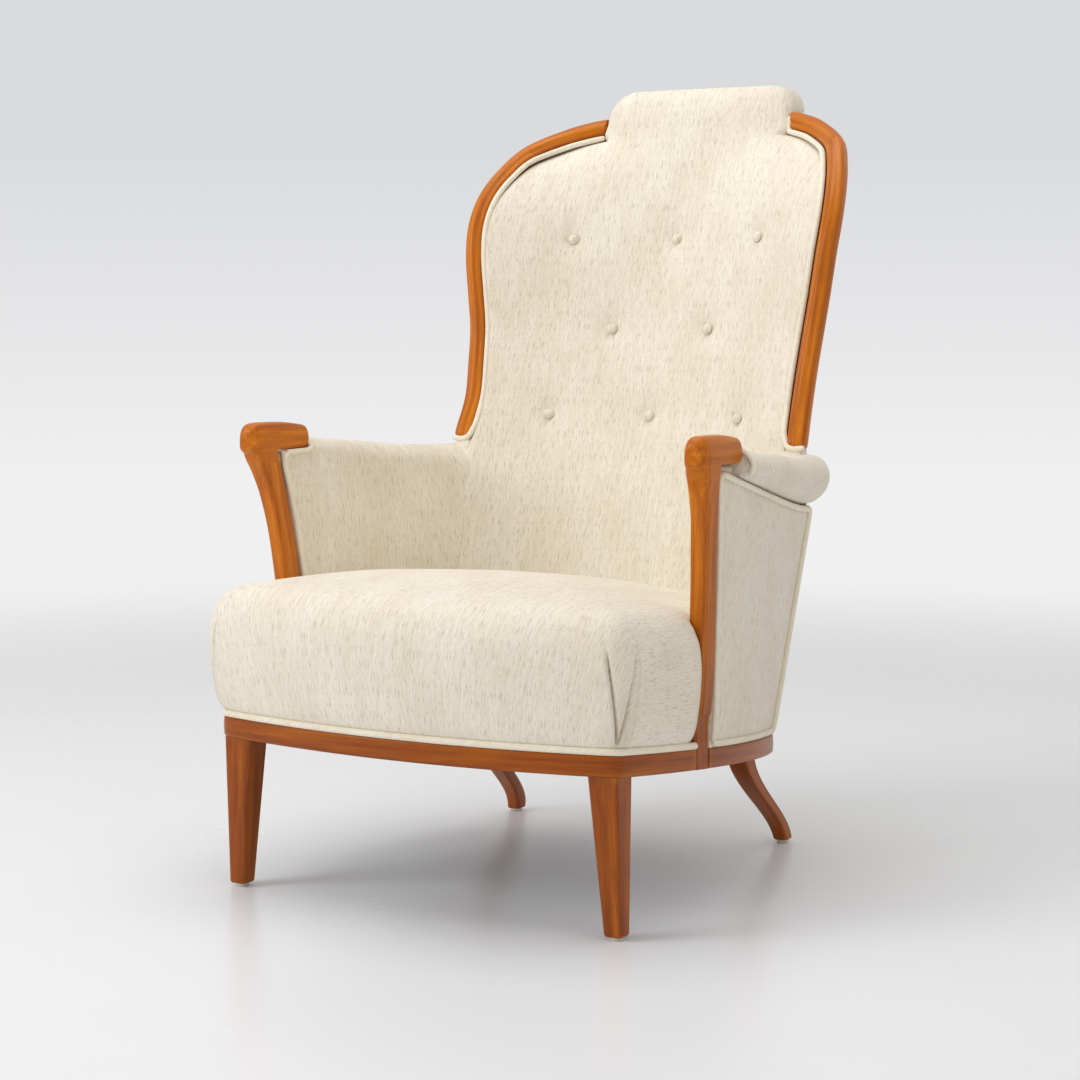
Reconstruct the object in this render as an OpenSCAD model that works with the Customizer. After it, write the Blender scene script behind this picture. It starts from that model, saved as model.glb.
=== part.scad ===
// High-backed fireside chair: a show-wood frame with a fixed sprung seat, a barrel-shaped
// buttoned back between two curved stiles, and padded arms that end in carved hand rests.
// The chair faces -Y and stands on z = 0. X = 0 is its plane of symmetry.

/* [Seat frame] */
// Width across the front corners of the seat frame
frame_w = 576; // [540:1:620]
// Depth from the front corners to the rear corners
frame_d = 512; // [480:1:550]
// Width across the rear corners of the seat frame
frame_rear_w = 496; // [470:1:510]
// How far the side rails swell outwards between the corners
side_swell = 23; // [10:1:30]
// How far the front rail bows ahead of its corners
front_bow = 38; // [20:1:50]
// How far the rear rail bows behind its corners
rear_bow = 30; // [15:1:40]
// Height of the underside of the front rail
rail_z = 197; // [180:1:220]
// How far the side rails fall from front to rear
side_drop = 51; // [30:1:60]
// Height of the polished face of the rails
show_h = 26; // [20:1:32]
// Height of the tacking strip above the polished face
tack_h = 30; // [22:1:36]
// Thickness of the rails
rail_t = 42; // [36:1:46]
// Depth of the tacking rebate in the rails
rebate = 12; // [8:1:14]
// Rounding of the front corners of the frame in plan
corner_r = 18; // [10:1:26]
// Rounding of the rear corners of the frame in plan
rear_corner_r = 30; // [20:1:36]

/* [Legs] */
// Width of a front leg under the rail
front_leg_top = 40; // [34:1:42]
// Width of a front leg at its foot
front_leg_foot = 24; // [20:1:30]
// Width of a rear leg under the rail
rear_leg_top = 30; // [26:1:34]
// Width of a rear leg at its foot
rear_leg_foot = 20; // [18:1:26]
// How far a rear foot stands behind the top of its leg
rear_splay = 116; // [80:1:120]
// Diameter of the round tenons on the legs
tenon_d = 20; // [14:1:22]
// Height of the nylon glides under the feet
glide_h = 4; // [3:0.5:6]
// Diameter of the nylon glides
glide_d = 17; // [14:0.5:19]

/* [Arms] */
// Distance of the arm posts behind the front corners, at the foot
post_set = 174; // [160:1:190]
// Depth of an arm post from front to back
post_d = 36; // [30:1:40]
// Width of an arm post at its foot
post_w = 31; // [28:1:34]
// How far an arm post leans outwards from foot to top
post_lean = 38; // [25:1:45]
// How far an arm post sweeps forwards from foot to top
post_sweep = 48; // [30:1:60]
// Height of the underside of the hand rests
hand_z = 552; // [520:1:580]
// Length of a hand rest
hand_l = 114; // [100:1:125]
// Width of a hand rest
hand_w = 32; // [28:1:36]
// Height of a hand rest
hand_h = 38; // [30:1:42]
// How far the rolled top of an arm stands out over the outside panel
roll_overhang = 20; // [14:1:24]
// Thickness of the outside arm panels
panel_t = 5; // [4:0.5:7]

/* [Back] */
// How far the back stiles stand outside the rear corners of the seat frame, at their widest
stile_out = 32; // [22:1:42]
// Width of a back stile
stile_w = 27; // [22:1:30]
// Height of the foot of the back stiles
stile_foot_z = 564; // [550:1:580]
// Rise of a back stile from its foot to its top end
stile_rise = 439; // [410:1:460]
// Depth of a back stile from its foot to its top end
stile_depth = 221; // [190:1:240]
// Distance of the foot of the stiles behind the rear corners of the seat frame
stile_back = 36; // [28:1:42]
// Half of the width of the raised crest pad
crest_half_w = 149; // [130:1:165]
// Height of the crest pad above the top ends of the stiles
crest_rise = 54; // [46:1:60]
// Thickness of the back pad at its middle
back_pad_t = 50; // [40:1:58]
// Diameter of the covered buttons
button_d = 15; // [12:0.5:20]
// Depth of the tufts under the buttons
tuft_depth = 8; // [4:0.5:10]

/* [Seat] */
// Height of the middle of the seat
seat_z = 425; // [405:1:440]
// How far the seat cover bulges beyond the rails
seat_bulge = 16; // [8:1:20]
// Drop of the seat from its middle to its edges
seat_crown = 44; // [30:1:55]
// Thickness of the welt cord
welt_d = 8; // [5:0.5:9]
// Diameter of the seat springs
spring_d = 80; // [60:1:90]
// Width of the webbing straps
strap_w = 50; // [40:1:55]

/* [Hidden] */

wood = "#b8661f";
hidden_wood = "#d9b98a";
wool = "#e6dcc6";
welt_wool = "#efe6d2";
jute = "#b79a6a";
steel = "#9aa0a6";
horsehair = "#6d5a45";

// Clearance between pieces that fit together
fit = 0.3;
// Clearance round a pin in its bore
pin_fit = 0.1;
// One overrun for every cut
over = 1;
// Distances behind the front corners: the foot of the stiles, and the back's face at the seat
stile_set = frame_d + stile_back;
back_seat_set = stile_set + 8;
// Height of the top of the crest pad
crest_z = stile_foot_z + stile_rise + crest_rise;
// How much less the face of the back rakes than the stiles do
stile_lead = 27.4;
back_rake_share = (stile_depth - stile_lead) / (stile_foot_z + stile_rise - seat_z);
crest_pad_t = 66;
// How far the edges of the back pad roll back
edge_roll = 7;
// Distance from the front corners to the rearmost point of the crest pad
back_reach = back_seat_set + (crest_z - seat_z) * back_rake_share + crest_pad_t - edge_roll;
// The overall depth puts the origin under the middle of the chair
front_y = (front_bow + seat_bulge - back_reach) / 2;

half_w = frame_w / 2;
rear_half_w = frame_rear_w / 2;
stile_half_w = rear_half_w + stile_out;
side_slope = side_drop / frame_d;
rail_h = show_h + tack_h;

// Plain helpers

function mix(a, b, t) = a + (b - a) * t;
function from_front(d) = front_y + d;
function bezier2(a, b, c, t) = mix(mix(a, b, t), mix(b, c, t), t);
function bezier3(a, b, c, d, t) = mix(bezier2(a, b, c, t), bezier2(b, c, d, t), t);
function unit(v) = v / norm(v);
function reversed(list) = [for (i = [len(list) - 1:-1:0]) list[i]];
function clamp01(t) = min(1, max(0, t));
// Value of a table of [place, value] rows, straight between its rows
function look_up_rows(rows, t, k) = let (
    last = len(rows) - 1,
    i = min(last - 1, max(0, len([for (r = rows) if (r[0] <= t) r]) - 1)),
    u = clamp01((t - rows[i][0]) / (rows[i + 1][0] - rows[i][0])))
    mix(rows[i][k], rows[i + 1][k], u);
// Smooth curve through a list of points, t from 0 to 1
function curve_at(points, t) = let (
    last = len(points) - 1,
    i = min(last - 1, floor(t * last)),
    u = t * last - i,
    a = points[max(0, i - 1)],
    b = points[i],
    c = points[i + 1],
    d = points[min(last, i + 2)])
    (2 * b + (c - a) * u + (2 * a - 5 * b + 4 * c - d) * u * u + (3 * b - a - 3 * c + d) * u * u * u) / 2;
// Rounded square outline, squarer as power grows
function rounded(w, d, power, sides) = [for (i = [0:sides - 1]) let (
    turn = 360 * (i + 0.5) / sides,
    c = cos(turn),
    s = sin(turn))
    [sign(c) * pow(abs(c), 2 / power) * w / 2, sign(s) * pow(abs(s), 2 / power) * d / 2]];

// Closed skin over rings of equal length, each anticlockwise as seen from the last ring
module loft(rings) {
    sides = len(rings[0]);
    last = len(rings) - 1;
    function middle(ring) = [for (k = [0:2]) let (
        part = [for (p = ring) p[k]])
        (max(part) + min(part)) / 2];
    points = concat([for (ring = rings) each ring], [middle(rings[0]), middle(rings[last])]);
    low = len(points) - 2;
    high = len(points) - 1;
    function at(i, j) = i * sides + j % sides;
    polyhedron(points, concat(
        [for (i = [0:last - 1], j = [0:sides - 1]) [at(i, j), at(i + 1, j), at(i + 1, j + 1)]],
        [for (i = [0:last - 1], j = [0:sides - 1]) [at(i, j), at(i + 1, j + 1), at(i, j + 1)]],
        [for (j = [0:sides - 1]) [low, at(0, j), at(0, j + 1)]],
        [for (j = [0:sides - 1]) [high, at(last, j + 1), at(last, j)]]), convexity = 10);
}

// Closed solid between two grids of equal size: front faces -Y, columns run towards +X, rows up
module thick_sheet(front, rear) {
    rows = len(front);
    cols = len(front[0]);
    count = rows * cols;
    function f(i, j) = i * cols + j;
    function r(i, j) = count + i * cols + j;
    polyhedron(concat([for (row = front) each row], [for (row = rear) each row]), concat(
        [for (i = [0:rows - 2], j = [0:cols - 2]) [f(i, j), f(i + 1, j), f(i + 1, j + 1)]],
        [for (i = [0:rows - 2], j = [0:cols - 2]) [f(i, j), f(i + 1, j + 1), f(i, j + 1)]],
        [for (i = [0:rows - 2], j = [0:cols - 2]) [r(i, j), r(i + 1, j + 1), r(i + 1, j)]],
        [for (i = [0:rows - 2], j = [0:cols - 2]) [r(i, j), r(i, j + 1), r(i + 1, j + 1)]],
        [for (i = [0:rows - 2]) each [[f(i, 0), r(i, 0), r(i + 1, 0)], [f(i, 0), r(i + 1, 0), f(i + 1, 0)]]],
        [for (i = [0:rows - 2], j = [cols - 1]) each [[f(i, j), r(i + 1, j), r(i, j)],
            [f(i, j), f(i + 1, j), r(i + 1, j)]]],
        [for (j = [0:cols - 2]) each [[f(0, j), f(0, j + 1), r(0, j + 1)], [f(0, j), r(0, j + 1), r(0, j)]]],
        [for (j = [0:cols - 2], i = [rows - 1]) each [[f(i, j), r(i, j + 1), f(i, j + 1)],
            [f(i, j), r(i, j), r(i, j + 1)]]]), convexity = 10);
}

module both_sides() {
    children();
    mirror([1, 0, 0]) children();
}

// Seat frame in plan

least_r = 2;
plan_steps = 10;
corner_steps = 4;
// Where the control points of the side curve lie along the depth
side_pull_shares = [0.28, 0.73];

function front_edge(x, inset) = from_front(inset) - front_bow * (1 - pow(x / half_w, 2));
function rear_edge(x, inset) = from_front(frame_d - inset) + rear_bow * (1 - pow(x / rear_half_w, 2));
function side_point(t, inset) = bezier3(
    [half_w - inset, from_front(inset)],
    [half_w + side_swell - inset, from_front(frame_d * side_pull_shares[0])],
    [half_w + side_swell - inset, from_front(frame_d * side_pull_shares[1])],
    [rear_half_w - inset, from_front(frame_d - inset)], t);
// The right half of the outline, from the middle of the front to the middle of the rear
function frame_half(inset) = let (
    r = max(least_r, corner_r - inset),
    rear_r = max(least_r, rear_corner_r - inset),
    x1 = half_w - inset - r,
    x2 = rear_half_w - inset - rear_r,
    t1 = r / frame_d,
    t2 = 1 - rear_r / frame_d)
    concat(
        [for (i = [0:plan_steps]) let (x = x1 * i / plan_steps) [x, front_edge(x, inset)]],
        [for (i = [1:corner_steps]) bezier2([x1, front_edge(x1, inset)],
            [half_w - inset, front_edge(half_w - inset, inset)], side_point(t1, inset), i / corner_steps)],
        [for (i = [1:plan_steps]) side_point(mix(t1, t2, i / plan_steps), inset)],
        [for (i = [1:corner_steps]) bezier2(side_point(t2, inset), [rear_half_w - inset,
            rear_edge(rear_half_w - inset, inset)], [x2, rear_edge(x2, inset)], i / corner_steps)],
        [for (i = [1:plan_steps]) let (x = x2 * (1 - i / plan_steps)) [x, rear_edge(x, inset)]]);
function frame_outline(inset) = let (right = frame_half(inset))
    concat(right, [for (p = reversed([for (i = [1:len(right) - 2]) right[i]])) [-p[0], p[1]]]);
// Half width of the frame at a distance d behind the front corners
function side_x(d, inset) = side_point(clamp01(d / frame_d), inset)[0];

// Underside of the rails: level under the front rail, falling along the sides
function rail_bottom(y) = rail_z - max(0, y - front_y) * side_slope;

// All that lies between two heights above the underside of the rails
module rail_band(low, high) {
    front_end = from_front(-frame_d / 2);
    rear_end = from_front(frame_d * 2);
    rotate([90, 0, 90])
        translate([0, 0, -frame_w])
            linear_extrude(2 * frame_w)
                polygon([[front_end, rail_z + low], [front_y, rail_z + low],
                    [rear_end, rail_bottom(rear_end) + low], [rear_end, rail_bottom(rear_end) + high],
                    [front_y, rail_z + high], [front_end, rail_z + high]]);
}

module plan_ring(outer, inner) {
    linear_extrude(rail_z + rail_h + front_bow)
        difference() {
            polygon(frame_outline(outer));
            polygon(frame_outline(inner));
        }
}

// The whole ring of rails with its outer rebate
module rail_ring() {
    intersection() {
        plan_ring(0, rail_t);
        rail_band(0, show_h);
    }
    intersection() {
        plan_ring(rebate, rail_t);
        rail_band(0, rail_h);
    }
}

// Slice of plan between two distances behind the front corners
module depth_slice(near, far, x_from, x_to) {
    translate([x_from, from_front(near), 0])
        cube([x_to - x_from, far - near, rail_z + rail_h + front_bow]);
}

side_rail_start = post_set + post_d + fit;
rear_joint_x = rear_half_w - rail_t - tenon_d;
// Margin from the faces of the rails to the outer faces of the front legs
side_margin = 3;
front_leg_x = half_w - side_margin - front_leg_top / 2;
front_leg_set = side_margin + front_leg_top / 2;
rear_leg_margin = 28;
rear_leg_x = rear_half_w - rear_leg_top / 2 - rear_leg_margin;
rear_leg_set = frame_d - rear_leg_top / 2;
tenon_h = rail_h * 3 / 5;

module tenon(x, set, d, extra) {
    y = from_front(set);
    translate([x, y, rail_bottom(y) - extra])
        cylinder(d = d, h = tenon_h + extra, $fn = 48);
}

module front_rail() {
    color(wood)
        difference() {
            intersection() {
                rail_ring();
                depth_slice(-frame_d / 2, post_set - fit, -frame_w, frame_w);
            }
            both_sides() tenon(front_leg_x, front_leg_set, tenon_d + 2 * pin_fit, over);
            screw_holes();
        }
}

module right_side_rail() {
    color(wood)
        difference() {
            intersection() {
                rail_ring();
                depth_slice(side_rail_start, frame_d * 2, rear_joint_x, frame_w);
            }
            tenon(rear_leg_x, rear_leg_set, tenon_d + 2 * pin_fit, over);
            screw_holes();
        }
}

module left_side_rail() {
    mirror([1, 0, 0]) right_side_rail();
}

module rear_rail() {
    color(wood)
        difference() {
            intersection() {
                rail_ring();
                depth_slice(frame_d / 2, frame_d * 2, fit - rear_joint_x, rear_joint_x - fit);
            }
            screw_holes();
        }
}

// Legs

leg_sides = 16;
leg_rings = 8;
leg_power = 6;
// Softened arris at the very foot of a leg
foot_round = 3;
// How far the rear feet stand outside the tops of their legs
rear_leg_spread = 11;
leg_shares = concat([0], [for (i = [0:leg_rings]) mix(foot_round / rail_z, 1, i / leg_rings)]);
front_foot_x = half_w - side_margin / 2 - front_leg_foot / 2;
front_foot_set = side_margin * 4 + front_leg_foot / 2;

// A ring of a leg: share 0 stands on the glide, share 1 lies against the underside of the rail
function leg_ring(x, y, w, d, share) = [for (p = rounded(w, d, leg_power, leg_sides)) let (
    py = y + p[1])
    [x + p[0], py, mix(glide_h, rail_bottom(py), share)]];

module right_front_leg() {
    color(wood) {
        loft([for (s = leg_shares) let (
            w = mix(front_leg_foot, front_leg_top, s) - (s == 0 ? foot_round : 0),
            set = mix(front_foot_set, front_leg_set, s))
            leg_ring(mix(front_foot_x, front_leg_x, s), from_front(set), w, w, s)]);
        tenon(front_leg_x, front_leg_set, tenon_d, 0);
    }
}

module left_front_leg() {
    mirror([1, 0, 0]) right_front_leg();
}

// Setback of a rear leg: upright under the rail, swept back and upright again at the foot
function rear_leg_back(share) = let (v = 1 - share) rear_leg_set + rear_splay * v * v * (3 - 2 * v);
function rear_leg_side(share) = rear_leg_x + rear_leg_spread * pow(1 - share, 2);

module right_rear_leg() {
    color(wood) {
        loft([for (s = leg_shares) let (
            w = mix(rear_leg_foot, rear_leg_top, s) - (s == 0 ? foot_round : 0))
            leg_ring(rear_leg_side(s), from_front(rear_leg_back(s)), w, w + foot_round, s)]);
        tenon(rear_leg_x, rear_leg_set, tenon_d, 0);
    }
}

module left_rear_leg() {
    mirror([1, 0, 0]) right_rear_leg();
}

module foot_glides() {
    color("ivory")
        both_sides() {
            translate([front_foot_x, from_front(front_foot_set), 0])
                cylinder(d = glide_d, h = glide_h, $fn = 48);
            translate([rear_leg_side(0), from_front(rear_leg_back(0)), 0])
                cylinder(d = glide_d, h = glide_h, $fn = 48);
        }
}

// Corner blocks and their screws

block_leg = 58;
block_h = 34;
screw_d = 4;
screw_head_d = 8;
screw_l = 45;
screw_bite = 14;

// Inner corner of the frame where a block sits: side 1 is the front, side -1 the rear
function block_corner(end) = end > 0 ? [half_w - rail_t, from_front(rail_t)]
    : [rear_half_w - rail_t, from_front(frame_d - rail_t)];

module corner_block(end) {
    c = block_corner(end);
    translate([0, 0, rail_bottom(c[1]) + (rail_h - block_h) / 2])
        linear_extrude(block_h)
            intersection() {
                polygon([c + [rail_t, -end * rail_t], c + [rail_t, end * block_leg],
                    c + [0, end * block_leg], c + [-block_leg, 0], c + [-block_leg, -end * rail_t]]);
                polygon(frame_outline(rail_t + fit));
            }
}

// A screw with its head at z = 0, reached through a bore of the given depth
module screw(d, head_d, l, access) {
    cylinder(d = d, h = l, $fn = 24);
    cylinder(d1 = head_d, d2 = d, h = screw_d / 2, $fn = 24);
    if (access > 0) translate([0, 0, -access]) cylinder(d = head_d, h = access, $fn = 24);
}

// Two screws by each block: one into the side rail and one into the front or rear rail
module screws(d, head_d, l, access) {
    both_sides() for (end = [1, -1]) {
        c = block_corner(end);
        z = rail_bottom(c[1]) + rail_h / 2;
        translate([c[0] - screw_l + screw_bite, c[1] + end * block_leg / 3, z - screw_d * 3 / 2])
            rotate([0, 90, 0]) screw(d, head_d, l, access);
        translate([c[0] - block_leg / 2, c[1] + end * (screw_l - 2 * screw_bite), z + screw_d * 3 / 2])
            rotate([end * 90, 0, 0]) screw(d, head_d, l, access);
    }
}

module screw_holes() {
    screws(screw_d + 2 * pin_fit, screw_head_d + 2 * pin_fit, screw_l + over, block_leg / 2);
}

module corner_blocks() {
    color(hidden_wood)
        difference() {
            both_sides() for (end = [1, -1]) corner_block(end);
            screw_holes();
        }
}

module corner_screws() {
    color(steel) screws(screw_d, screw_head_d, screw_l, 0);
}

// Arm posts and hand rests

// Rows from foot to top: shares of the rise, lean, sweep, width and depth of a post
post_shape_shares = [
    [0, 0, 0, 1, 1],
    [0.15, 0, 0, 1, 1],
    [0.2, 0.14, 0.03, 0.97, 1],
    [0.37, 0.36, 0.2, 0.75, 0.97],
    [0.56, 0.48, 0.34, 0.7, 0.94],
    [0.72, 0.6, 0.48, 0.71, 0.92],
    [0.85, 0.74, 0.65, 0.74, 0.92],
    [0.94, 0.88, 0.85, 0.8, 0.97],
    [1, 1, 1, 0.87, 1.05],
    [1.04, 1.03, 1.02, 0.9, 1.1]];
// Rows from the tip to the rear: shares of the length, width and, for underside and top, of the height
hand_shape_shares = [
    [0, 0.5, 0.4, 0.8],
    [0.03, 0.72, 0.18, 0.93],
    [0.08, 0.88, 0.04, 0.99],
    [0.18, 0.98, 0, 1],
    [0.4, 1, 0, 1],
    [0.65, 1, 0, 0.97],
    [0.88, 0.98, 0, 0.89],
    [0.97, 0.95, 0.02, 0.85],
    [1, 0.86, 0.08, 0.8]];
post_sides = 16;
post_power = 5;
hand_sides = 20;
hand_power = 3;
// How far the rear of a hand rest turns in towards the seat
hand_turn = 5;

post_foot_x = side_x(post_set + post_d / 2, 0);
post_foot_z = rail_bottom(from_front(post_set));
post_rise = hand_z - post_foot_z;
hand_x = post_foot_x + post_lean - hand_w / 2 + side_margin;
hand_set = post_set - post_sweep - hand_l / 8;
hand_rear_set = hand_set + hand_l;

function post_share(z, k) = look_up_rows(post_shape_shares, (z - post_foot_z) / post_rise, k);
function post_outer_x(z) = post_foot_x + post_lean * post_share(z, 1);
function post_inner_x(z) = post_outer_x(z) - post_w * post_share(z, 3);
function post_front_y(z) = from_front(post_set - post_sweep * post_share(z, 2));
function post_rear_y(z) = post_front_y(z) + post_d * post_share(z, 4);

module right_arm_post() {
    color(wood) {
        loft([for (row = post_shape_shares) let (z = post_foot_z + post_rise * row[0])
            [for (p = rounded(post_w * row[3], post_d * row[4], post_power, post_sides)) let (
                y = post_front_y(z) + post_d * row[4] / 2 + p[1])
                [(post_outer_x(z) + post_inner_x(z)) / 2 + p[0], y, row[0] > 0 ? z : rail_bottom(y)]]]);
        loft([for (row = hand_shape_shares) let (
            low = hand_z + hand_h * row[2],
            high = hand_z + hand_h * row[3])
            [for (p = rounded(hand_w * row[1], high - low, hand_power, hand_sides))
                [hand_x - hand_turn * row[0] - p[0], from_front(hand_set + hand_l * row[0]),
                    (low + high) / 2 + p[1]]]]);
    }
}

module left_arm_post() {
    mirror([1, 0, 0]) right_arm_post();
}

// Back stiles

// Rows from foot to top: shares of the greatest half width, of the depth and of the rise
stile_path_shares = [
    [0.936, 0, 0],
    [0.925, 0.09, 0.105],
    [0.932, 0.145, 0.219],
    [0.945, 0.195, 0.333],
    [0.968, 0.217, 0.446],
    [0.991, 0.238, 0.572],
    [1, 0.294, 0.674],
    [0.984, 0.394, 0.765],
    [0.939, 0.538, 0.845],
    [0.868, 0.697, 0.913],
    [0.721, 0.869, 0.966],
    [0.604, 0.955, 0.991]];
stile_steps = 30;
stile_sides = 12;
stile_power = 2.8;
// The faces of the stiles look forwards, square to the rake of the back
back_face = unit([0, -1, back_rake_share]);

stile_points = concat(
    [for (r = stile_path_shares)
        [stile_half_w * r[0], from_front(stile_set + stile_depth * r[1]), stile_foot_z + stile_rise * r[2]]],
    [[crest_half_w + fit, from_front(stile_set + stile_depth), stile_foot_z + stile_rise]]);

function stile_at(t) = curve_at(stile_points, t);
function stile_way(t) = let (step = 1 / stile_steps / 2)
    unit(stile_at(min(1, t + step)) - stile_at(max(0, t - step)));
// A ring across the stile, shifted inwards and forwards by lengths
function stile_ring(t, w, d, inwards, forwards, sides, power) = let (
    way = stile_way(t),
    outwards = unit(cross(way, back_face)),
    behind = cross(way, outwards),
    middle = stile_at(t) - outwards * inwards - behind * forwards)
    [for (p = rounded(w, d, power, sides)) middle + outwards * p[0] + behind * p[1]];

module right_back_stile() {
    end_x = crest_half_w + fit;
    color(wood)
        loft([for (i = [0:stile_steps]) [for (p = stile_ring(i / stile_steps, stile_w, stile_w, 0, 0,
            stile_sides, stile_power)) i < stile_steps ? p : [end_x, p[1], p[2]]]]);
}

module left_back_stile() {
    mirror([1, 0, 0]) right_back_stile();
}

// The surfaces of the back

// Room for the welt between a stile and the back pad
welt_room = welt_d + 2 * fit;
// Seam between the back pad and an arm pad
seam_x = rear_half_w - side_margin;
seam_set = stile_set - 49;
seam_rake_share = 0.3;
lower_rail_z = 295;
lower_rail_h = 30;
pad_base_z = lower_rail_z + lower_rail_h + fit;
pad_edge_t = 6;
crest_rail_z = stile_foot_z + stile_rise - stile_w / 2 - side_margin;
crest_rail_h = 30;
crest_rail_t = 16;
shelf_z = crest_rail_z + crest_rail_h + fit;
shoulder_r = 42;
// Spread of a tuft round its button
tuft_spread = 22;
// How much of the shoulder's quarter turn the crest pad takes
shoulder_share = 0.96;

function back_mid_y(z) = from_front(back_seat_set + (z - seat_z) * back_rake_share);
function seam_y(z) = from_front(seam_set + (z - seat_z) * seam_rake_share);
// The hollow of the back is full across at the seat and pointed from two thirds of its height up
barrel_powers = [2.3, 1.5];
function barrel_power(z) = let (rise = (z - seat_z) / (crest_z - seat_z))
    mix(barrel_powers[0], barrel_powers[1], clamp01(rise * 3 / 2));
// Front edge of the pad beside a stile
function pad_edge(t) = let (
    way = stile_way(t),
    across = unit([way[2], 0, -way[0]]),
    p = stile_at(t) - across * (stile_w / 2 + welt_room))
    [p[0], p[1] - stile_w / 2 + side_margin, p[2]];

pad_low_rows = 5;
pad_stile_rows = 12;
crest_row_shares = [0, 0.3, 0.6, 0.82, 0.94, 1];
crest_base_z = pad_edge(1)[2];

edge_power = 14;
// Rows of the back pad: height, half width, edge y, thickness at the middle and at the edge
function pad_row(z, w, edge_y) =
    [z, w, edge_y, back_pad_t - max(0, z - crest_rail_z) * back_rake_share, pad_edge_t];
// A row of the raised crest pad, which rests on the crest rail, u from 0 to 1 over the rounded shoulder
function crest_row(z) = let (
    u = clamp01((z - crest_z + shoulder_r) / shoulder_r),
    t = crest_pad_t - 2 * edge_roll * u)
    [z, crest_half_w - shoulder_r * (1 - sqrt(1 - u * u * shoulder_share)),
        back_mid_y(z) + edge_roll * u, t, t];
pad_rows = concat(
    [for (i = [0:pad_low_rows]) let (z = mix(pad_base_z, pad_edge(0)[2], i / (pad_low_rows + 1)))
        pad_row(z, seam_x - fit, seam_y(z))],
    [for (i = [0:pad_stile_rows]) let (p = pad_edge(i / pad_stile_rows)) pad_row(p[2], p[0], p[1])],
    [for (z = [(crest_base_z + shelf_z) / 2, shelf_z - fit]) pad_row(z, crest_half_w, back_mid_y(z))],
    [for (s = crest_row_shares) crest_row(mix(shelf_z, crest_z, s))]);

// Rows of buttons: shares of the half width of the crest pad and of the height of the back
button_row_shares = [[[0, 0.993], 0.652], [[0.517], 0.449], [[0, 1.013], 0.256]];
button_places = [for (row = button_row_shares, x = row[0], side = x > 0 ? [-1, 1] : [1])
    [side * x * crest_half_w, mix(seat_z, crest_z, row[1])]];

function tuft(x, z) = tuft_depth * max([for (b = button_places)
    exp(-(pow(x - b[0], 2) + pow(z - b[1], 2)) / (2 * pow(tuft_spread, 2)))]);
function pad_front_y(x, z, w, edge_y) = let (u = min(1, abs(x) / w))
    mix(back_mid_y(z), edge_y, pow(u, barrel_power(z)))
        + edge_roll * pow(u, edge_power) + tuft(x, z);
// Shares of the half width where the columns of the pad stand
pad_column_shares = [0, 0.11, 0.2, 0.3, 0.4, 0.5, 0.58, 0.66, 0.76, 0.86, 0.94, 1];
pad_columns = concat([for (i = [len(pad_column_shares) - 1:-1:1]) -pad_column_shares[i]], pad_column_shares);

module back_pad() {
    front = [for (r = pad_rows) [for (u = pad_columns)
        [u * r[1], pad_front_y(u * r[1], r[0], r[1], r[2]), r[0]]]];
    rear = [for (r = pad_rows) [for (u = pad_columns) let (
        flat = mix(back_mid_y(r[0]), r[2], pow(abs(u), barrel_power(r[0]))))
        [u * r[1], flat + max(tuft_depth + side_margin, mix(r[3], r[4], u * u)), r[0]]]];
    color(wool) thick_sheet(front, rear);
}

// Front of the pad between the lines of its grid
function pad_vertex(i, j) = let (r = pad_rows[i], x = pad_columns[j] * r[1]) pad_front_y(x, r[0], r[1], r[2]);
function pad_surface(x, z) = let (
    i = len([for (r = pad_rows) if (r[0] <= z) r]) - 1,
    t = (z - pad_rows[i][0]) / (pad_rows[i + 1][0] - pad_rows[i][0]),
    u = x / mix(pad_rows[i][1], pad_rows[i + 1][1], t),
    j = len([for (c = pad_columns) if (c <= u) c]) - 1,
    v = (u - pad_columns[j]) / (pad_columns[j + 1] - pad_columns[j]))
    [x, mix(mix(pad_vertex(i, j), pad_vertex(i, j + 1), v),
        mix(pad_vertex(i + 1, j), pad_vertex(i + 1, j + 1), v), t), z];

button_h = 6;
// Height of the rim of a button above the bottom of its tuft, bridged by its shank
button_gap = 2.8;
shank_d = 4;

module back_buttons() {
    r = button_d / 2;
    ball = (r * r + button_h * button_h) / (2 * button_h);
    for (b = button_places) {
        step = button_d;
        p = pad_surface(b[0], b[1]);
        slope_x = (pad_surface(b[0] + step, b[1])[1] - pad_surface(b[0] - step, b[1])[1]) / (2 * step);
        translate(p + back_face * button_gap)
            rotate([90 - atan(back_rake_share), 0, 0])
                rotate([0, atan(slope_x), 0])
                    color(wool) {
                        intersection() {
                            translate([0, 0, button_h - ball]) sphere(r = ball, $fn = 48);
                            cylinder(r = r, h = button_h + over, $fn = 48);
                        }
                        translate([0, 0, 2 * fit - button_gap])
                            cylinder(d = shank_d, h = button_gap, $fn = 24);
                    }
    }
}

// Crest rail, lower rail and uprights inside the back

module bowed_bar(x_end, y_end, bow, t, z, h) {
    steps = 12;
    function y_at(x) = y_end + bow * (1 - pow(x / x_end, 2));
    translate([0, 0, z])
        linear_extrude(h)
            polygon(concat(
                [for (i = [0:steps]) let (x = x_end * (2 * i / steps - 1)) [x, y_at(x)]],
                [for (i = [steps:-1:0]) let (x = x_end * (2 * i / steps - 1)) [x, y_at(x) + t]]));
}

crest_rail_front = back_mid_y(crest_rail_z) + back_pad_t + fit;
crest_rail_bow = 27;
lower_rail_bow = 53;
upright_w = 22;
upright_d = 16;
upright_foot_x = rear_half_w - 25;
upright_foot_set = frame_d - 15;
lower_rail_t = 22;
// The lower rail stands a little behind the fronts of the uprights
lower_rail_back = 4;

module crest_rail() {
    color(hidden_wood)
        bowed_bar(crest_half_w, crest_rail_front - crest_rail_bow, crest_rail_bow, crest_rail_t,
            crest_rail_z, crest_rail_h);
}

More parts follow.
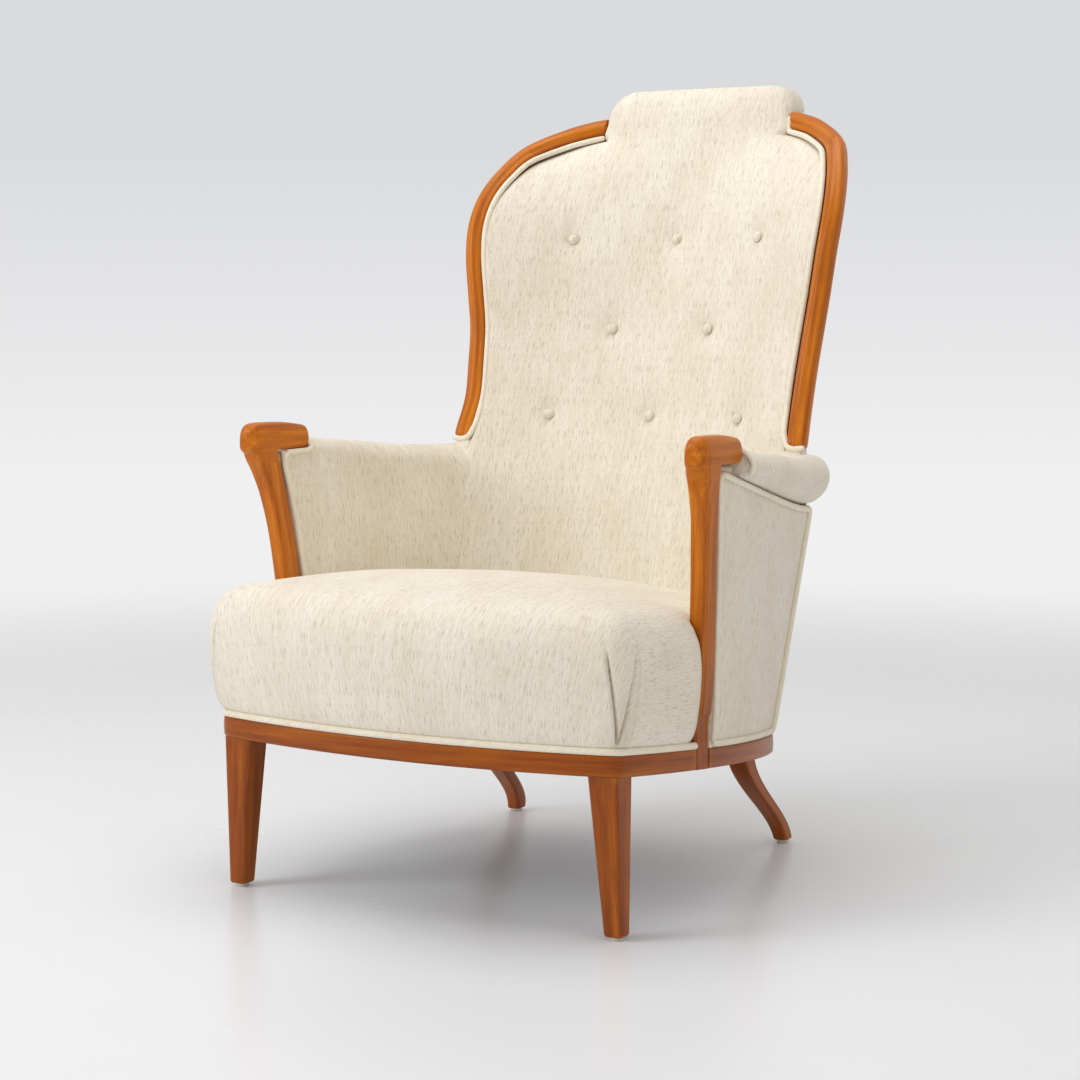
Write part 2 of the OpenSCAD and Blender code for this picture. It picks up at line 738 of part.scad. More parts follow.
// The foot ring lies on the rails and the top ring under the foot of the stile
module right_back_upright() {
    foot_y = from_front(upright_foot_set);
    color(hidden_wood)
        loft([[for (p = rounded(upright_w, upright_d, post_power, stile_sides))
            [upright_foot_x + p[0], foot_y + p[1], rail_bottom(foot_y + p[1]) + rail_h]],
            [for (p = stile_ring(0, upright_w, upright_d, 0, 0, stile_sides, post_power))
                p - stile_way(0) * fit]]);
}

module left_back_upright() {
    mirror([1, 0, 0]) right_back_upright();
}

function upright_middle(z) = let (
    foot = [upright_foot_x, from_front(upright_foot_set), rail_bottom(from_front(upright_foot_set)) + rail_h],
    t = (z - foot[2]) / (stile_foot_z - foot[2]))
    mix(foot, stile_at(0), t);

lower_rail_x = upright_middle(lower_rail_z)[0] - upright_w / 2 - fit;
lower_rail_end_y = upright_middle(lower_rail_z)[1] - upright_d / 2 + lower_rail_back;

module lower_back_rail() {
    color(hidden_wood)
        bowed_bar(lower_rail_x, lower_rail_end_y, lower_rail_bow, lower_rail_t, lower_rail_z, lower_rail_h);
}

// Arms: share 0 of the length lies at the post, share 1 at the upright

// How the outside of an arm leans out as it rises
panel_lean_share = 0.085;
panel_rear_set = stile_set - 48;
panel_rear_lift_share = 0.198;
// Drop of the top edge of the outside panel from the hand rest to the rear
arm_drop = 73;
arm_rail_t = 10;
arm_rail_h = 34;
arm_crown = 5;
// How far the pad stands proud of the post
pad_proud = 4;
// Heights of the ridge of the arm pad along the arm, as shares of the height of the hand rest
ridge_shares = [[0, 0.5], [0.36, 0.21], [0.66, -0.1], [0.87, -0.18], [1, -0.1]];
// The same at the rear end of the arm, where the panel leans in
roll_rear_overhang = roll_overhang + 8;

arm_top_power = 1.5;
panel_base_z = rail_bottom(from_front(frame_d)) + show_h;
function arm_top_z(s) = hand_z - side_margin - arm_drop * (1 - pow(1 - s, arm_top_power));
function panel_rear_y(z) = from_front(panel_rear_set) + (z - panel_base_z) * panel_rear_lift_share;
function panel_x(s, z) = side_x(mix(side_rail_start, panel_rear_set, s), side_margin)
    + (z - panel_base_z) * panel_lean_share;
function panel_y(s, z) = mix(post_rear_y(z) + fit, panel_rear_y(z), s);
function ridge_z(s) = hand_z + hand_h * look_up_rows(ridge_shares, s, 1);

// Share of the outside panel at a place, and its inner face there
function panel_share(y, z) = clamp01((y - post_rear_y(z) - fit) / (panel_rear_y(z) - post_rear_y(z) - fit));
function panel_inner_x(y, z) = panel_x(panel_share(y, z), z) - panel_t;

arm_base_z = lower_rail_z + lower_rail_h;
arm_curve_power = 1.9;
// Inner face of an arm pad, crowned over its height
function arm_share(y, z) = clamp01((y - post_rear_y(z)) / (seam_y(z) - post_rear_y(z)));
function arm_crown_x(z, top) = arm_crown * sin(180 * clamp01((z - arm_base_z) / (top - arm_base_z)));
function arm_inner_x(y, z) = let (s = arm_share(y, z))
    mix(post_inner_x(z) - pad_proud, seam_x + fit, pow(s, arm_curve_power)) - arm_crown_x(z, arm_top_z(s));

// Room for a cord between an arm post and the front of its pad
post_cord_room = 5;
arm_stations = 12;
roll_steps = 9;
// Heights of the points up the sides of an arm pad, as shares of its height under the roll
arm_side_shares = [0, 0.17, 0.34, 0.51, 0.68, 0.82];
// Turn of the roll, from the inner face over the ridge to the underside
roll_turn = 250;

// The flat front end of an arm pad, close behind the post
function arm_front_y(z) = post_cord_room + mix(post_rear_y(arm_base_z), post_rear_y(hand_z),
    (z - arm_base_z) / (hand_z - arm_base_z));
// Place along an arm, from its station and height: station 0 lies by the post, 1 and 2 at the hand rest
function arm_y(k, z) = k == 0 ? arm_front_y(z)
    : k == 1 ? from_front(hand_rear_set)
    : mix(from_front(hand_rear_set) + fit, seam_y(z) - fit, (k - 2) / (arm_stations - 2));
// Share of the outside panel under the roll at a station
function arm_panel_share(k) = let (
    middle_z = hand_z - arm_drop / 2,
    z = arm_top_z(panel_share(arm_y(k, middle_z), middle_z)))
    panel_share(arm_y(k, z), z);

// One section of an arm pad: up the inner face, over the roll and down inside the panel
function arm_section(k) = let (
    under_hand = k < 2,
    s = arm_panel_share(k),
    top = arm_top_z(s) + over + fit,
    y = arm_y(k, top),
    ridge = under_hand ? hand_z - fit : ridge_z(s),
    inner_top = arm_inner_x(y, top),
    face = panel_inner_x(y, top),
    under_rail = top - arm_rail_h - 3 * over,
    outer = under_hand ? face : face + panel_t + mix(roll_overhang, roll_rear_overhang, s),
    r_x = (outer - inner_top) / 2,
    r_z = (ridge - top) / 2,
    heights = [for (t = arm_side_shares) mix(arm_base_z, under_rail, t)])
    concat(
        [for (z = heights) [arm_inner_x(arm_y(k, z), z), z]],
        [[arm_inner_x(arm_y(k, under_rail), under_rail), under_rail]],
        [for (i = [0:roll_steps]) let (a = 180 - roll_turn * i / roll_steps)
            [inner_top + r_x + r_x * cos(a), top + r_z + r_z * sin(a)]],
        [[face - arm_rail_t - 2 * over, top],
            [panel_inner_x(arm_y(k, under_rail), under_rail) - arm_rail_t - 2 * over, under_rail]],
        [for (z = reversed(concat(heights, [under_rail]))) [panel_inner_x(arm_y(k, z), z) - fit, z]]);

module right_arm_pad() {
    color(wool)
        loft([for (k = [0:arm_stations]) [for (p = arm_section(k)) [p[0], arm_y(k, p[1]), p[1]]]]);
}

module left_arm_pad() {
    mirror([1, 0, 0]) right_arm_pad();
}

// The bar under the roll, from the post to the upright
function arm_rail_y(k, z) = k == 0 ? post_rear_y(z) + fit
    : k > arm_stations ? upright_middle(z)[1] - upright_d / 2 - fit
    : arm_y(k, z);
module right_arm_rail() {
    color(hidden_wood)
        loft([for (k = [0:arm_stations + 1]) let (
            top = arm_top_z(k == 0 ? 0 : arm_panel_share(min(k, arm_stations))))
            [for (c = [[1, 1], [1, 0], [0, 0], [0, 1]]) let (
                z = top - c[1] * arm_rail_h,
                y = arm_rail_y(k, z))
                [panel_inner_x(y, z) - fit - c[0] * arm_rail_t, y, z]]]);
}

module left_arm_rail() {
    mirror([1, 0, 0]) right_arm_rail();
}

module right_outside_arm() {
    rows = 6;
    cols = 12;
    grid = [for (depth = [0, panel_t]) [for (i = [0:rows]) [for (j = [0:cols]) let (
        s = j / cols,
        low = rail_bottom(panel_y(s, panel_base_z)) + show_h + fit,
        z = mix(low, arm_top_z(s), i / rows))
        [panel_x(s, z) - depth, panel_y(s, z), z]]]];
    color(wool) thick_sheet(grid[0], grid[1]);
}

module left_outside_arm() {
    mirror([1, 0, 0]) right_outside_arm();
}

// The outside of the back, from the rear rail up to the crest pad

back_panel_bulge = 24;
back_panel_power = 2.6;
back_panel_low_rows = 4;
back_panel_z = rail_bottom(from_front(panel_rear_set)) + show_h + 2 * fit;
function stile_rear(t) = let (p = stile_at(t)) [p[0], p[1] + stile_w / 2 + panel_t + 3 * side_margin, p[2]];
// Rows of the outside back: height, half width and edge y
back_panel_rows = concat(
    [for (i = [0:back_panel_low_rows]) let (
        z = mix(back_panel_z, stile_foot_z, i / (back_panel_low_rows + 1)))
        [z, panel_x(1, z) - panel_t, panel_rear_y(z) + panel_t + fit]],
    [for (i = [0:pad_stile_rows]) let (p = stile_rear(i / pad_stile_rows))
        [min(p[2], shelf_z - fit), p[0], p[1]]]);

module outside_back() {
    cols = 16;
    grid = [for (depth = [panel_t, 0]) [for (r = back_panel_rows) [for (j = [-cols / 2:cols / 2]) let (
        u = 2 * j / cols,
        middle = back_mid_y(r[0]) + back_pad_t + back_panel_bulge)
        [u * r[1], mix(middle, r[2], pow(abs(u), back_panel_power)) - depth, r[0]]]]];
    color(wool) thick_sheet(grid[0], grid[1]);
}

// Webbing of the back: four upright straps between the two rails

back_strap_places = [-100, -36, 36, 100];
strap_t = 2;
back_strap_w = 40;

module back_webbing() {
    low = lower_rail_z + lower_rail_h + fit;
    high = crest_rail_z - fit;
    color(jute)
        for (x = back_strap_places) {
            low_bow = lower_rail_bow * (1 - pow(x / lower_rail_x, 2));
            low_y = lower_rail_end_y + low_bow + lower_rail_t - strap_t - over;
            near_x = max(0, abs(x) - back_strap_w / 2);
            high_y = crest_rail_front - crest_rail_bow * pow(near_x / crest_half_w, 2) + over;
            loft([for (end = [[low, low_y], [high, high_y]])
                [for (c = [[-1, 0], [1, 0], [1, 1], [-1, 1]])
                    [x + c[0] * back_strap_w / 2, end[1] + c[1] * strap_t, end[0]]]]);
        }
}

// Seat: heights here are measured above the underside of the rails

seat_top_h = seat_z - rail_z;
welt_h = welt_d + side_margin / 3;
skirt_h = show_h + welt_h + 2 * fit;
cavity_inset = rail_t + side_margin;
// Thickness of the cover with its wadding, and of the stuffing under it
wadding_t = 50;
stuffing_t = 38;
ceiling_h = seat_top_h - wadding_t;
spring_h = ceiling_h - stuffing_t;
hessian_t = 2;
seat_gap = 2 * fit;
// Outline points along the free sides of the seat, as shares of the distance to the arm posts
seat_side_shares = [0.316, 0.546];
seat_side_sets = [for (s = seat_side_shares) s * post_set];
// Curl of the cover before an arm post: share of the post's depth ahead of it, share of the way in
seat_curl_shares = [[1, 0], [0.5, 0], [0.333, 0.3], [0.194, 0.7], [0.111, 1]];
seat_skirt_count = 2;
// Outline points along the arms, as shares of the depth of the frame
seat_arm_shares = [0.39, 0.479, 0.566, 0.654, 0.742, 0.83];
seat_arm_sets = [for (s = seat_arm_shares) s * frame_d];
seat_rear_shares = [1, 0.94, 0.86, 0.76, 0.66, 0.5, 0.3];
seat_front_steps = 7;
// Rows up the swell of the cover: shares of its height, of its bulge and of its height at the arms
seat_swell_shares = [[0.33, 0.8, 0.33], [0.5, 1, 0.5], [0.67, 0.9, 0.67], [0.76, 0.3, 0.74]];
// Rings of the cover from the tacking strip up: height and inset at the front, height at the arms
seat_rings = concat([
    [rail_h + fit, rebate - fit, rail_h + fit],
    [skirt_h, rebate - fit, rail_h + 4 * fit],
    [skirt_h, side_margin, rail_h + 9 * fit],
    [skirt_h + seat_bulge, -seat_bulge / 2, rail_h + 20 * fit]],
    [for (r = seat_swell_shares) [seat_top_h * r[0], -seat_bulge * r[1], seat_top_h * r[2]]]);
seat_top_shares = [0.93, 0.82, 0.66, 0.48, 0.26];
seat_top_power = 2.6;
seat_middle_set = frame_d * 23 / 50;

function seat_row_z(y, h) = rail_bottom(y) + h;
// Rear edge of the seat against the back pad, never behind the pad's lowest row
function seat_rear_y(u, h) = let (
    guess = from_front(seam_set),
    z = max(pad_base_z, seat_row_z(guess, h)),
    mid = back_mid_y(z))
    mid - (mid - seam_y(z)) * pow(u, barrel_power(z)) - seat_gap;

// Right half of one ring of the cover, from the middle of the front to the corner by the back
function seat_half(inset, h, arm_h) = let (
    r = max(least_r, corner_r - inset),
    x1 = half_w - inset - r,
    t1 = r / frame_d)
    concat(
        [for (i = [0:seat_front_steps]) let (x = x1 * i / seat_front_steps, y = front_edge(x, inset))
            [x, y, seat_row_z(y, h)]],
        [for (i = [1:corner_steps]) let (p = bezier2([x1, front_edge(x1, inset)],
            [half_w - inset, front_edge(half_w - inset, inset)], side_point(t1, inset), i / corner_steps))
            [p[0], p[1], seat_row_z(p[1], h)]],
        [for (d = seat_side_sets) let (y = from_front(d)) [side_x(d, inset), y, seat_row_z(y, h)]],
        [for (i = [0:len(seat_curl_shares) - 1]) let (
            here_h = i < seat_skirt_count ? h : max(h, arm_h),
            pull = i == seat_skirt_count && h < rail_h + over ? 0 : seat_curl_shares[i][1],
            z = seat_row_z(from_front(post_set), here_h),
            y = post_front_y(z) - seat_curl_shares[i][0] * post_d,
            out = side_x(y - front_y, inset))
            [mix(out, min(out, arm_inner_x(y, z) - seat_gap), pull), y, seat_row_z(y, here_h)]],
        [for (d = seat_arm_sets) let (y = from_front(d), z = seat_row_z(y, arm_h))
            [arm_inner_x(y, z) - seat_gap, y, z]],
        [for (u = seat_rear_shares) let (y = seat_rear_y(u, arm_h))
            [u * (seam_x - seat_gap), y, seat_row_z(y, arm_h)]]);
// The same places on the wall of the hollow that holds the springs
function cavity_half(inset) = let (
    r = least_r,
    x1 = half_w - inset - r,
    t1 = r / frame_d,
    x2 = rear_half_w - inset)
    concat(
        [for (i = [0:seat_front_steps]) let (x = x1 * i / seat_front_steps) [x, front_edge(x, inset)]],
        [for (i = [1:corner_steps]) bezier2([x1, front_edge(x1, inset)],
            [half_w - inset, front_edge(half_w - inset, inset)], side_point(t1, inset), i / corner_steps)],
        [for (d = seat_side_sets) [side_x(d, inset), from_front(d)]],
        [for (c = seat_curl_shares) let (d = post_set - c[0] * post_d) [side_x(d, inset), from_front(d)]],
        [for (d = seat_arm_sets) [side_x(d, inset), from_front(d)]],
        [for (u = seat_rear_shares) [u * x2, rear_edge(u * x2, inset + rear_bow / 2)]]);
function mirrored(half, middle) = concat(half, [middle],
    [for (p = reversed([for (i = [1:len(half) - 1]) half[i]]))
        len(p) > 2 ? [-p[0], p[1], p[2]] : [-p[0], p[1]]]);
function seat_ring(inset, h, arm_h) = let (y = seat_rear_y(0, arm_h))
    mirrored(seat_half(inset, h, arm_h), [0, y, seat_row_z(y, arm_h)]);
function cavity_outline(inset) = mirrored(cavity_half(inset), [0, rear_edge(0, inset + rear_bow / 2)]);
function cavity_ring(h) = [for (p = cavity_outline(cavity_inset)) [p[0], p[1], seat_row_z(p[1], h)]];
// A ring over the top, k from the rounded edge at 1 to the middle at 0
function seat_top_ring(k) = let (
    edge = seat_rings[len(seat_rings) - 1],
    middle = [0, from_front(seat_middle_set)])
    [for (p = seat_ring(edge[1], edge[0], edge[2])) let (
        flat = mix(middle, [p[0], p[1]], k),
        h = seat_top_h - seat_crown * pow(k, seat_top_power))
        [flat[0], flat[1], seat_row_z(flat[1], h)]];

module seat_cover() {
    color(wool)
        loft(concat(
            [cavity_ring(ceiling_h), cavity_ring(rail_h + fit + 2 * over)],
            [for (r = seat_rings) seat_ring(r[1], r[0], r[2])],
            [for (k = seat_top_shares) seat_top_ring(k)]));
}

// All of the hollow under the cover between two heights
module seat_layer(inset, low, high) {
    intersection() {
        linear_extrude(2 * seat_z) polygon(cavity_outline(inset));
        rail_band(low, high);
    }
}

module seat_stuffing() {
    color(horsehair) seat_layer(cavity_inset + fit, spring_h + hessian_t + fit, ceiling_h - fit);
}

module spring_hessian() {
    color(jute) seat_layer(cavity_inset + fit, spring_h, spring_h + hessian_t);
}

// Springs: three rows of three, standing on the crossings of the webbing

spring_pitch = frame_w * 13 / 60;
spring_places = [-spring_pitch, 0, spring_pitch];
spring_set_shares = [0.205, 0.469, 0.733];
spring_sets = [for (s = spring_set_shares) s * frame_d];
spring_wall = 4;
spring_waist_share = 0.6;

module seat_springs() {
    steps = 10;
    h = (spring_h - 2 * pin_fit) * cos(atan(side_slope));
    function radius(u) = spring_d / 2 * mix(spring_waist_share, 1, pow(2 * u - 1, 2));
    color(steel)
        for (x = spring_places, d = spring_sets)
            translate([x, from_front(d), rail_bottom(from_front(d)) + pin_fit])
                rotate([-atan(side_slope), 0, 0])
                    rotate_extrude($fn = 24)
                        polygon(concat(
                            [for (i = [0:steps]) [radius(i / steps), h * i / steps]],
                            [for (i = [steps:-1:0]) [radius(i / steps) - spring_wall, h * i / steps]]));
}

web_t = 2.5;
web_inset = 14;

module seat_webbing() {
    color(jute)
        intersection() {
            rail_band(-web_t, 0);
            linear_extrude(2 * seat_z) polygon(frame_outline(web_inset));
            union() {
                for (x = spring_places) depth_slice(-frame_d, 2 * frame_d, x - strap_w / 2, x + strap_w / 2);
                for (d = spring_sets) depth_slice(d - strap_w / 2, d + strap_w / 2, -frame_w, frame_w);
            }
        }
}

dust_t = 1;
module dust_cover() {
    color("dimgray")
        difference() {
            intersection() {
                rail_band(-web_t - dust_t, -web_t);
                linear_extrude(2 * seat_z) polygon(frame_outline(web_inset));
            }
            both_sides() {
                margin = front_leg_top / 2 + side_margin;
                depth_slice(-frame_d, front_leg_set + margin, front_leg_x - margin, frame_w);
                depth_slice(rear_leg_set - margin, 2 * frame_d, rear_leg_x - margin, frame_w);
            }
        }
}

// Welts

module seat_welt() {
    color(welt_wool)
        intersection() {
            plan_ring(-side_margin, rebate - fit);
            rail_band(show_h, show_h + welt_h);
            depth_slice(-frame_d, post_set - side_margin, -frame_w, frame_w);
        }
}

// A cord along a path that keeps close to a plane square to the X axis
module cord(path, d, sides) {
    last = len(path) - 1;
    loft([for (i = [0:last]) let (
        way = unit(path[min(last, i + 1)] - path[max(0, i - 1)]),
        up = unit(cross([1, 0, 0], way)),
        side = cross(way, up))
        [for (j = [0:sides - 1]) let (a = 360 * j / sides)
            path[i] + side * cos(a) * d / 2 + up * sin(a) * d / 2]]);
}

cord_sides = 6;

// Place of the cord on the outside panel
function arm_welt_at(y, z) = [panel_x(panel_share(y, z), z) + welt_d / 2 + 2 * fit, y, z];

module right_arm_welt() {
    steps = 12;
    r = welt_d / 2;
    color(welt_wool)
        cord(concat(
            [for (i = [0:steps]) let (s = i / steps, z = arm_top_z(s) - r - fit)
                arm_welt_at(mix(post_rear_y(z) + r, panel_rear_y(z) - r, s), z)],
            [for (i = [1:steps]) let (z = mix(arm_top_z(1) - 3 * r, panel_base_z + r, i / steps))
                arm_welt_at(panel_rear_y(z) - r, z)]), welt_d, cord_sides);
}

module left_arm_welt() {
    mirror([1, 0, 0]) right_arm_welt();
}

module right_back_welt() {
    steps = 24;
    d = welt_d - 2 * fit;
    end_x = crest_half_w + fit;
    color(welt_wool)
        loft([for (i = [0:steps]) [for (p = stile_ring(i / steps, d, d,
            (stile_w + welt_room) / 2, stile_w / 2 - d / 2 - side_margin, cord_sides, 2))
            i < steps ? p : [end_x, p[1], p[2]]]]);
}

module left_back_welt() {
    mirror([1, 0, 0]) right_back_welt();
}

front_rail();
left_side_rail();
right_side_rail();
rear_rail();
left_front_leg();
right_front_leg();
left_rear_leg();
right_rear_leg();
foot_glides();
left_arm_post();
right_arm_post();
left_back_stile();
right_back_stile();
crest_rail();
left_back_upright();
right_back_upright();
lower_back_rail();
left_arm_rail();
right_arm_rail();
corner_blocks();
corner_screws();
seat_webbing();
seat_springs();
spring_hessian();
seat_stuffing();
seat_cover();
seat_welt();
back_webbing();
back_pad();
back_buttons();
left_arm_pad();
right_arm_pad();
left_outside_arm();
right_outside_arm();
outside_back();
left_back_welt();
right_back_welt();
left_arm_welt();
right_arm_welt();
dust_cover();
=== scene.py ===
# %% [markdown]
# # A buttoned fireside chair, dressed in Blender
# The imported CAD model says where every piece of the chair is. This lesson keeps those places and
# gives each piece its real surface: lacquered wood with grain, a heathered wool cover, round
# welts, buttons that pull the pad in, and the plain cloth underneath.

# %% Load the frame
from math import cos, exp, hypot, pi, radians, sin

import bpy
import numpy as np
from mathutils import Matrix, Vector


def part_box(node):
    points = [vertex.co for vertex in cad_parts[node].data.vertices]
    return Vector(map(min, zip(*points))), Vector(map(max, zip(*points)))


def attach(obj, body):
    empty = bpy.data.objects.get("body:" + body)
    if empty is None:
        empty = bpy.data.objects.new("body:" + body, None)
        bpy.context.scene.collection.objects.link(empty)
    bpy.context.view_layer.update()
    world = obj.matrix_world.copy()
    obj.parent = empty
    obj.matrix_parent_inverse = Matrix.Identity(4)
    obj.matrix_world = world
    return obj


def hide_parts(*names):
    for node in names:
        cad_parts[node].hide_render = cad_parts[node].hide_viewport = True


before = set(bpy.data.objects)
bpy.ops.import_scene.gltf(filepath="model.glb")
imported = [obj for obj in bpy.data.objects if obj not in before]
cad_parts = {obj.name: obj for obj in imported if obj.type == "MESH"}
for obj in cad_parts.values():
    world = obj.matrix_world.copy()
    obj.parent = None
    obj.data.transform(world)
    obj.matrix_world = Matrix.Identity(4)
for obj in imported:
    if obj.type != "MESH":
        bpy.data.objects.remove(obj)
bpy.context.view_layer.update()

# %% [markdown]
# ## Setting up the view
# The chair is seen from its front left, a little from above. A long lens keeps the posts almost
# parallel, as in a studio photograph, so the camera stands over three metres off.

# %% Camera
CAMERA_PLACE, CAMERA_TARGET, LENS = (1.6565, -2.8964, 0.745), (-0.002, -0.0694, 0.4355), 83.3


def linked(name, data):
    made = bpy.data.objects.new(name, data)
    bpy.context.scene.collection.objects.link(made)
    return made


def aim(thing, where, target):
    thing.location = where
    thing.rotation_mode = "QUATERNION"
    thing.rotation_quaternion = (Vector(target) - Vector(where)).to_track_quat("-Z", "Y")


camera = linked("camera", bpy.data.cameras.new("camera"))
camera.data.lens = LENS
aim(camera, CAMERA_PLACE, CAMERA_TARGET)
bpy.context.scene.camera = camera
bpy.context.scene.view_settings.view_transform = "Standard"
print("camera", LENS, "mm")

# %% [markdown]
# ## Shader maths in plain Python
# A material is a small formula over the surface. A class that knows `+` and `*` wraps each socket,
# so the formula is written as one while Blender still gets ordinary Math nodes.

# %% A number that lives on the surface
class Field:
    """A socket with arithmetic: every operation adds one Math node."""

    def __init__(self, recipe, socket):
        self.recipe, self.socket = recipe, socket

    def maths(self, operation, *values):
        return self.recipe.node("ShaderNodeMath", {"operation": operation}, dict(enumerate(values)))

    def __add__(self, other):
        return self.maths("ADD", self, other)

    def __sub__(self, other):
        return self.maths("SUBTRACT", self, other)

    def __rsub__(self, other):
        return self.maths("SUBTRACT", other, self)

    def __mul__(self, other):
        return self.maths("MULTIPLY", self, other)

    __radd__, __rmul__ = __add__, __mul__

    def sine(self):
        return self.maths("SINE", self)

    def over(self, low, high):
        """0 below low, 1 above high, and smooth between."""
        return self.recipe.node("ShaderNodeMapRange", {"interpolation_type": "SMOOTHSTEP"},
                                {"Value": self, "From Min": low, "From Max": high})


# %% A material as a recipe
def colour(text):
    """Six hex digits as the linear numbers that Blender uses."""
    parts = [int(text[i:i + 2], 16) / 255 for i in (0, 2, 4)]
    return tuple(p / 12.92 if p <= 0.04045 else ((p + 0.055) / 1.055) ** 2.4 for p in parts) + (1.0,)


class Recipe:
    """A node tree, and the one way in which this lesson adds a node."""

    def __init__(self, name, tree=None):
        if tree is None:
            self.material = bpy.data.materials.new(name)
            self.material.use_nodes = True
            tree = self.material.node_tree
        self.tree = tree
        tree.nodes.clear()

    def node(self, kind, settings=None, inputs=None, out=0):
        made = self.tree.nodes.new(kind)
        for key, value in (settings or {}).items():
            if key != "stops":
                setattr(made, key, value)
                continue
            ramp = made.color_ramp.elements
            while len(ramp) < len(value):
                ramp.new(0.5)
            for element, (position, tone) in zip(ramp, value):
                element.position, element.color = position, colour(tone)
        for key, value in (inputs or {}).items():
            if isinstance(value, Field):
                self.tree.links.new(value.socket, made.inputs[key])
            else:
                made.inputs[key].default_value = colour(value) if isinstance(value, str) else value
        return Field(self, made.outputs[out]) if made.outputs else made

    def attribute(self, name):
        return self.node("ShaderNodeAttribute", {"attribute_name": name}, out="Vector")

    def where(self):
        return self.node("ShaderNodeTexCoord", out="Object")

    def part(self, field, axis):
        return self.node("ShaderNodeSeparateXYZ", inputs={0: field}, out=axis)

    def noise(self, field, scale, detail=2.0, roughness=0.5):
        scale = scale if isinstance(scale, tuple) else (scale,) * 3
        where = self.node("ShaderNodeVectorMath", {"operation": "MULTIPLY"}, {0: field, 1: scale})
        return self.node("ShaderNodeTexNoise", inputs={"Vector": where, "Scale": 1.0, "Detail": detail,
                                                       "Roughness": roughness})

    def blend(self, share, first, second):
        return self.node("ShaderNodeMix", {"data_type": "RGBA"}, {0: share, 6: first, 7: second}, out=2)

    def tone(self, field, *stops):
        return self.node("ShaderNodeValToRGB", {"stops": stops}, {"Fac": field})

    def bump(self, height, depth, strength):
        return self.node("ShaderNodeBump",
                         inputs={"Height": height, "Distance": depth, "Strength": strength})

    def finish(self, **inputs):
        names = {key.replace("_", " "): value for key, value in inputs.items()}
        shader = self.node("ShaderNodeBsdfPrincipled", inputs=names)
        self.node("ShaderNodeOutputMaterial", inputs={"Surface": shader})
        return self.material


# %% [markdown]
# ## The finishes
# The show wood is straight grained under a warm lacquer, golden above and deeper near the floor, where the
# deeper tones are painted shade.
# Every wooden mesh carries a `grain` vector: distance along the piece, then the two directions
# across it. The noise is stretched along the first.

# %% Lacquered show wood
def show_wood():
    r = Recipe("show_wood")
    grain = r.attribute("grain")
    broad = r.noise(grain, (5.0, 95.0, 95.0), 3.0, 0.55)
    fine = r.noise(grain, (22.0, 620.0, 620.0), 2.0, 0.6)
    pores = r.noise(grain, (70.0, 2600.0, 2600.0), 1.0).over(0.6, 0.72)
    figure = broad * 0.72 + fine * 0.28
    golden = r.tone(figure, (0.28, "964906"), (0.44, "B66008"), (0.58, "CB720D"), (0.74, "DE8A20"))
    # deep is a darker copy of the same tones, blended in by height towards the floor: painted shade on the
    # legs and rails
    deep = r.tone(figure, (0.28, "703005"), (0.44, "8C4206"), (0.58, "A05208"), (0.74, "B56616"))
    wood = r.blend(r.part(r.where(), "Z").over(0.16, 0.46), deep, golden)
    edge = r.node("ShaderNodeNewGeometry", out="Pointiness").over(0.52, 0.60)
    base = r.blend(pores * 0.3, r.blend(edge * 0.3, wood, "D99038"), "6A2B05")
    relief = fine * 0.6 + (1.0 - pores) * 0.5
    return r.finish(Base_Color=base, Roughness=0.24 + fine * 0.14 + pores * 0.12,
                    Normal=r.bump(relief, 0.00012, 0.5), IOR=1.45, Specular_IOR_Level=0.24,
                    Coat_Weight=0.08, Coat_Roughness=0.12)


# %% [markdown]
# The cover is a heathered wool: cream yarn with short flecks of a greyer, thicker yarn. Fabric
# meshes carry a `weave` vector, measured in metres over the cloth itself, so the flecks follow
# the cloth round a corner instead of sliding over it.

# %% Wool, its welts, the plain cloths and the small metal
def woven(r, cloth, pitch, uneven):
    turns = 2 * pi / pitch
    warp = (r.part(cloth, "X") * turns + uneven).sine()
    weft = (r.part(cloth, "Y") * turns + uneven).sine()
    return warp * weft * 0.5 + 0.5


def wool_cloth(name, light, dark, fleck, fleck_share, pitch):
    r = Recipe(name)
    cloth = r.attribute("weave")
    weave = woven(r, cloth, pitch, r.noise(cloth, 160.0, 1.0) * 5.0)
    slub = r.noise(cloth, (560.0, 62.0, 90.0), 2.0, 0.6)
    thin = r.noise(cloth, (1250.0, 150.0, 200.0), 2.0, 0.6)
    streak = r.noise(cloth, (230.0, 14.0, 30.0), 2.0, 0.6)
    cloudy = r.noise(cloth, (14.0, 8.0, 10.0))
    ground = r.blend(cloudy.over(0.3, 0.7) * 0.5 + streak.over(0.35, 0.65) * 0.5, light, dark)
    flecks = slub.over(0.50, 0.74) * fleck_share + thin.over(0.48, 0.8) * fleck_share * 0.8
    base = r.blend((1.0 - weave) * 0.12, r.blend(flecks, ground, fleck), fleck)
    height = weave * 0.4 + slub * 0.7 + thin * 0.5
    return r.finish(Base_Color=base, Roughness=0.88, Normal=r.bump(height, 0.0006, 0.7),
                    Sheen_Weight=0.16, Sheen_Roughness=0.5, Specular_IOR_Level=0.2)


def plain_cloth(name, light, dark, pitch):
    r = Recipe(name)
    cloth = r.attribute("weave")
    uneven = r.noise(cloth, 300.0)
    weave = woven(r, cloth, pitch, uneven)
    base = r.blend(weave * 0.6 + uneven * 0.4, dark, light)
    return r.finish(Base_Color=base, Roughness=0.9, Normal=r.bump(weave, 0.0006, 0.8), Sheen_Weight=0.1)


def stuffing_fibre():
    r = Recipe("stuffing")
    curl = r.noise(r.attribute("weave"), 380.0, 4.0, 0.7)
    base = r.tone(curl, (0.35, "2E2219"), (0.55, "64503C"), (0.7, "8C7459"))
    return r.finish(Base_Color=base, Roughness=0.95, Normal=r.bump(curl, 0.002, 0.9))


